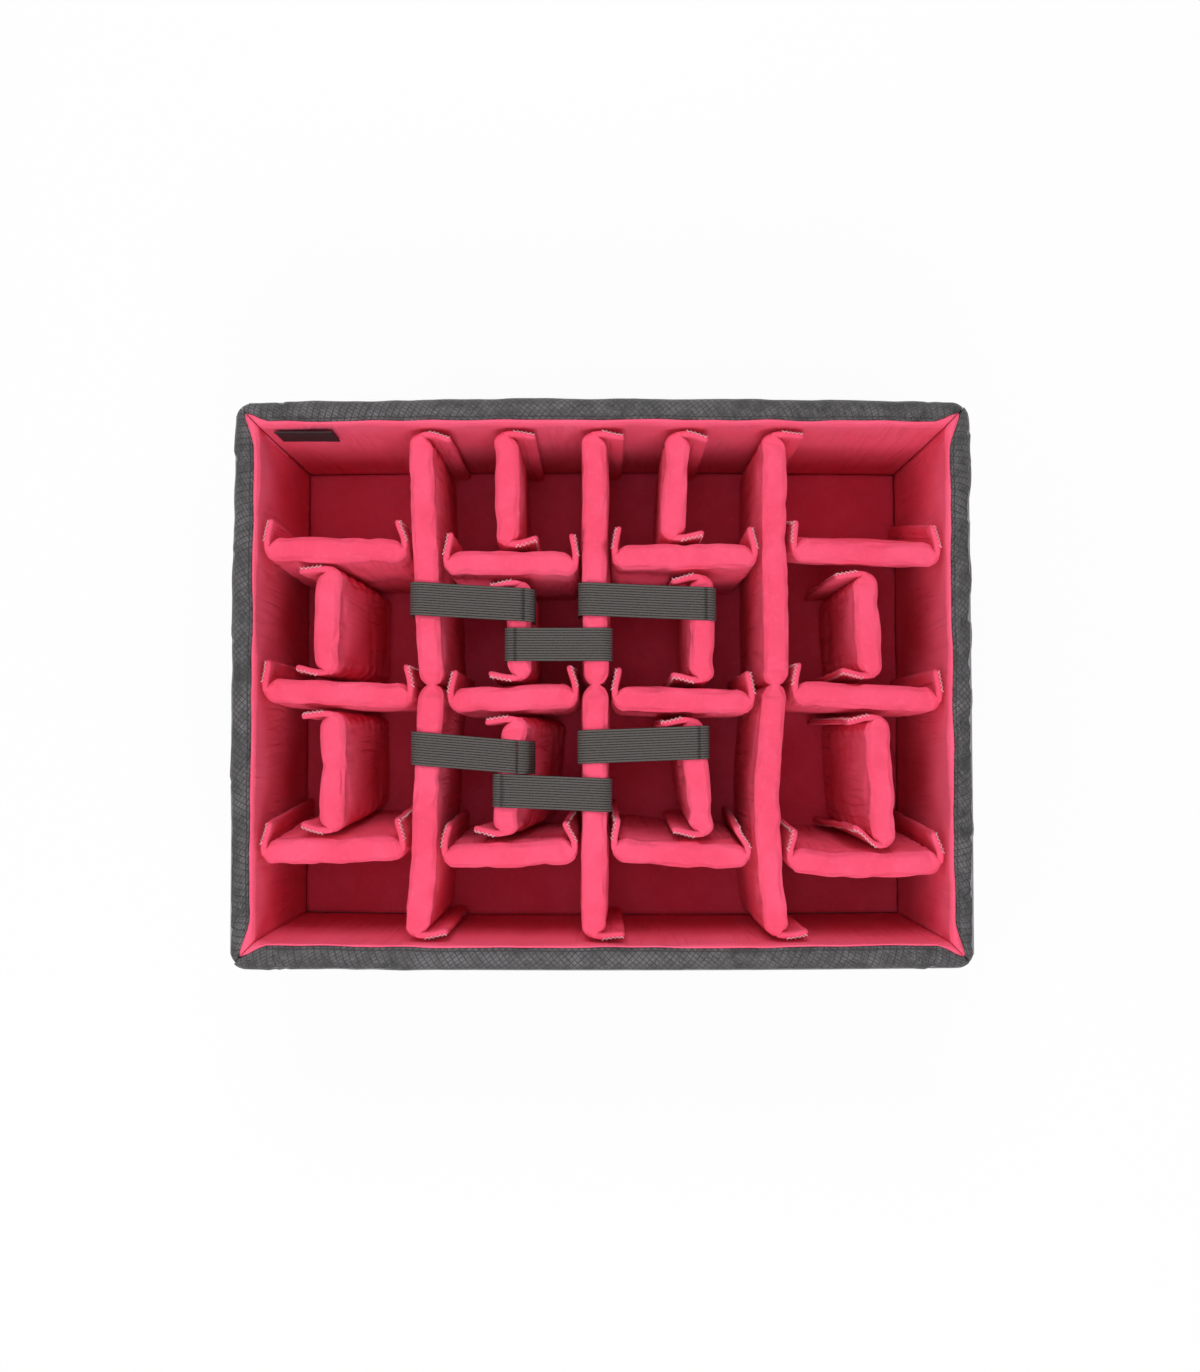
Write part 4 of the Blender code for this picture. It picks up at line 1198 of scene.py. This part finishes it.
def sewPaths(name, paths, thread, look, body):
    # paths are lists of (point, side); the nodes turn them into one mesh of thread
    points, edges, sides = [], [], []
    for path in paths:
        edges += [(len(points) + i, len(points) + i + 1) for i in range(len(path) - 1)]
        points += [tuple(p) for p, side in path]
        sides += [c for p, side in path for c in side]
    mesh = bpy.data.meshes.new(name + "_path")
    mesh.from_pydata(points, edges, [])
    mesh.attributes.new("side", "FLOAT_VECTOR", "POINT").data.foreach_set("vector", sides)
    guide = show(name + "_path", mesh)
    sewn = guide.modifiers.new("Thread", "NODES")
    sewn.node_group = zigzag
    for label, value in (("Pitch", look["pitch"]), ("Width", look["width"]),
                         ("Thread Radius", look["thread"]), ("Thread", thread)):
        sewn[threadKeys[label]] = value
    graph = bpy.context.evaluated_depsgraph_get()
    done = bpy.data.meshes.new_from_object(guide.evaluated_get(graph))
    done.name = name
    made = show(name, done)
    bpy.data.objects.remove(guide)
    if not done.materials:
        done.materials.append(thread)
    done.polygons.foreach_set("use_smooth", [True] * len(done.polygons))
    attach(made, body)


def flapRings(rings, rungs, side):
    # one flap's cuts from its tip to its root; the outer face comes first in each
    picks = [ring for ring, rung in zip(rings, rungs) if rung[3] == side and rung[2] > 0.05]
    return picks if side < 0 else picks[::-1]


def facing(ring, i):
    # the way out of a flap's outer face
    return (ring[i] - ring[len(ring) - 2 - i]).normalized()


def overlockPaths(rings, column):
    # up the free edge and back along the top, thrown over the rounded edge
    edge, lift = 3, overlockLook["lift"]
    free, top = [], []
    for i in range(4, column - 7):
        spot = rings[edge][i]
        out, along = facing(rings[edge], i), (rings[edge + 1][i] - spot).normalized()
        free.append((spot + (out - along * 0.5).normalized() * lift, (out + along).normalized()))
    k, up = column - 4, Vector((0, 0, 1))
    for ring in rings[edge - 1:]:
        out = facing(ring, k - 3)
        top.append((ring[k] + (out + up).normalized() * lift, (out - up).normalized()))
    return [free, top]


def flapSeam(rings, column):
    # the row of stitches that holds the hook tape, on the flap's inner face
    ring, rootward = rings[flapSeamLook["ring"]], rings[flapSeamLook["ring"] + 1]
    line = []
    for i in range(5, column - 8):
        k = len(ring) - 2 - i
        line.append((ring[k] - facing(ring, i) * flapSeamLook["lift"], (rootward[k] - ring[k]).normalized()))
    return line


def nylonSeams(wall):
    # the rim's inner seam, the foot seam and two rows beside each upright corner seam
    look = nylonSeamLook
    lift = look["lift"]
    rim, foot = [], []
    for share in wallShares(wall)[4:-4]:
        along = share * wall["half"]
        depth = foldAt(wall, along) - look["fromFold"]
        height = tray["height"] - rimDrop(wall, along, depth) + lift
        rim.append((wallPoint(wall, share, depth, height), wall["out"]))
        depth = outerDraw(wall, along, look["foot"]) - lift
        foot.append((wallPoint(wall, share, depth, look["foot"]), Vector((0, 0, 1))))
    paths = [rim, foot]
    for end in (-1, 1):
        for inset in (look["fromCorner"], look["fromCorner"] + look["rows"]):
            share = end * (1 - inset / wall["half"])
            line = []
            for height in spread(look["foot"], look["top"], 46):
                depth = outerDraw(wall, share * wall["half"], height) - lift
                line.append((wallPoint(wall, share, depth, height), wall["along"]))
            paths.append(line)
    return paths


for name, made, rings, rungs, column in coverJobs:
    flaps = [flapRings(rings, rungs, side) for side in (-1, 1)]
    sewPaths(name + "_flap_seam", [flapSeam(flap, column) for flap in flaps], pinkThread, flapSeamLook,
             bodiesOf[name])
    sewPaths(name + "_overlock", [path for flap in flaps for path in overlockPaths(flap, column)],
             paleThread, overlockLook, bodiesOf[name])
for side in walls:
    sewPaths("outer_cover_" + side + "_seams", nylonSeams(walls[side]), darkThread, nylonSeamLook, "tray")
print("stitches made")


studio = {
    "floorWhite": 0.92, "floorRough": 0.9, "cameraShare": 0.93, "world": 0.40, "aim": (0, 0, 0.15),
    "panels": (("zenithPanel", 0.6, 3.0, (-0.10, -0.05, 2.3)), ("leftPanel", 1.0, 3.2, (-1.00, -0.30, 1.50)),
               ("frontPanel", 0.9, 13.5, (0.1, -1.15, 1.45)), ("backPanel", 0.9, 10.5, (-0.1, 1.15, 1.45))),
    "lens": 37.54, "camera": (0.0, -0.0484, 1.261), "tilt": (0.0432, 0.0014, 0.0),
}
white = (1, 1, 1, 1)


def directRays(tree):
    # 1 for what the camera sees, in a mirror or through glass too
    rays = tree.nodes.new("ShaderNodeLightPath")
    seen = Wire(tree, rays.outputs["Is Camera Ray"])
    for way in ("Is Glossy Ray", "Is Transmission Ray"):
        seen = seen.math("MAXIMUM", seen, Wire(tree, rays.outputs[way]))
    return seen


bpy.ops.mesh.primitive_plane_add(size=8.0, location=(0, 0, -0.0005))
ground = bpy.context.object
ground.name = "studioFloor"
made, shader, kit = startMaterial("studioWhite")
setSockets(shader, Base_Color=(studio["floorWhite"],) * 3 + (1,), Roughness=studio["floorRough"])
glow = kit.node("ShaderNodeEmission", {}, {"Color": white, "Strength": 1.0})
blend = kit.node("ShaderNodeMixShader", {}, {0: directRays(kit.tree) * studio["cameraShare"],
                                             1: Wire(kit.tree, shader.outputs[0]), 2: glow})
plug(blend, kit.tree.nodes["Material Output"], "Surface")
ground.data.materials.append(made)

world = bpy.data.worlds.new("studioAir")
bpy.context.scene.world = world
world.use_nodes = True
air = world.node_tree.nodes["Background"]
setSockets(air, Color=white)
plug(directRays(world.node_tree) * (1.0 - studio["world"]) + studio["world"], air, "Strength")

for name, size, power, place in studio["panels"]:
    light = bpy.data.lights.new(name, "AREA")
    light.shape, light.size, light.energy = "SQUARE", size, power
    lamp = show(name, light)
    lamp.location = place
    lamp.rotation_euler = (Vector(studio["aim"]) - Vector(place)).to_track_quat("-Z", "Y").to_euler()

lens = bpy.data.cameras.new("topCamera")
lens.sensor_fit, lens.sensor_width, lens.lens = "AUTO", 36.0, studio["lens"]
camera = show("topCamera", lens)
camera.location, camera.rotation_euler = studio["camera"], studio["tilt"]
bpy.context.scene.camera = camera
bpy.context.scene.view_settings.view_transform = "Standard"
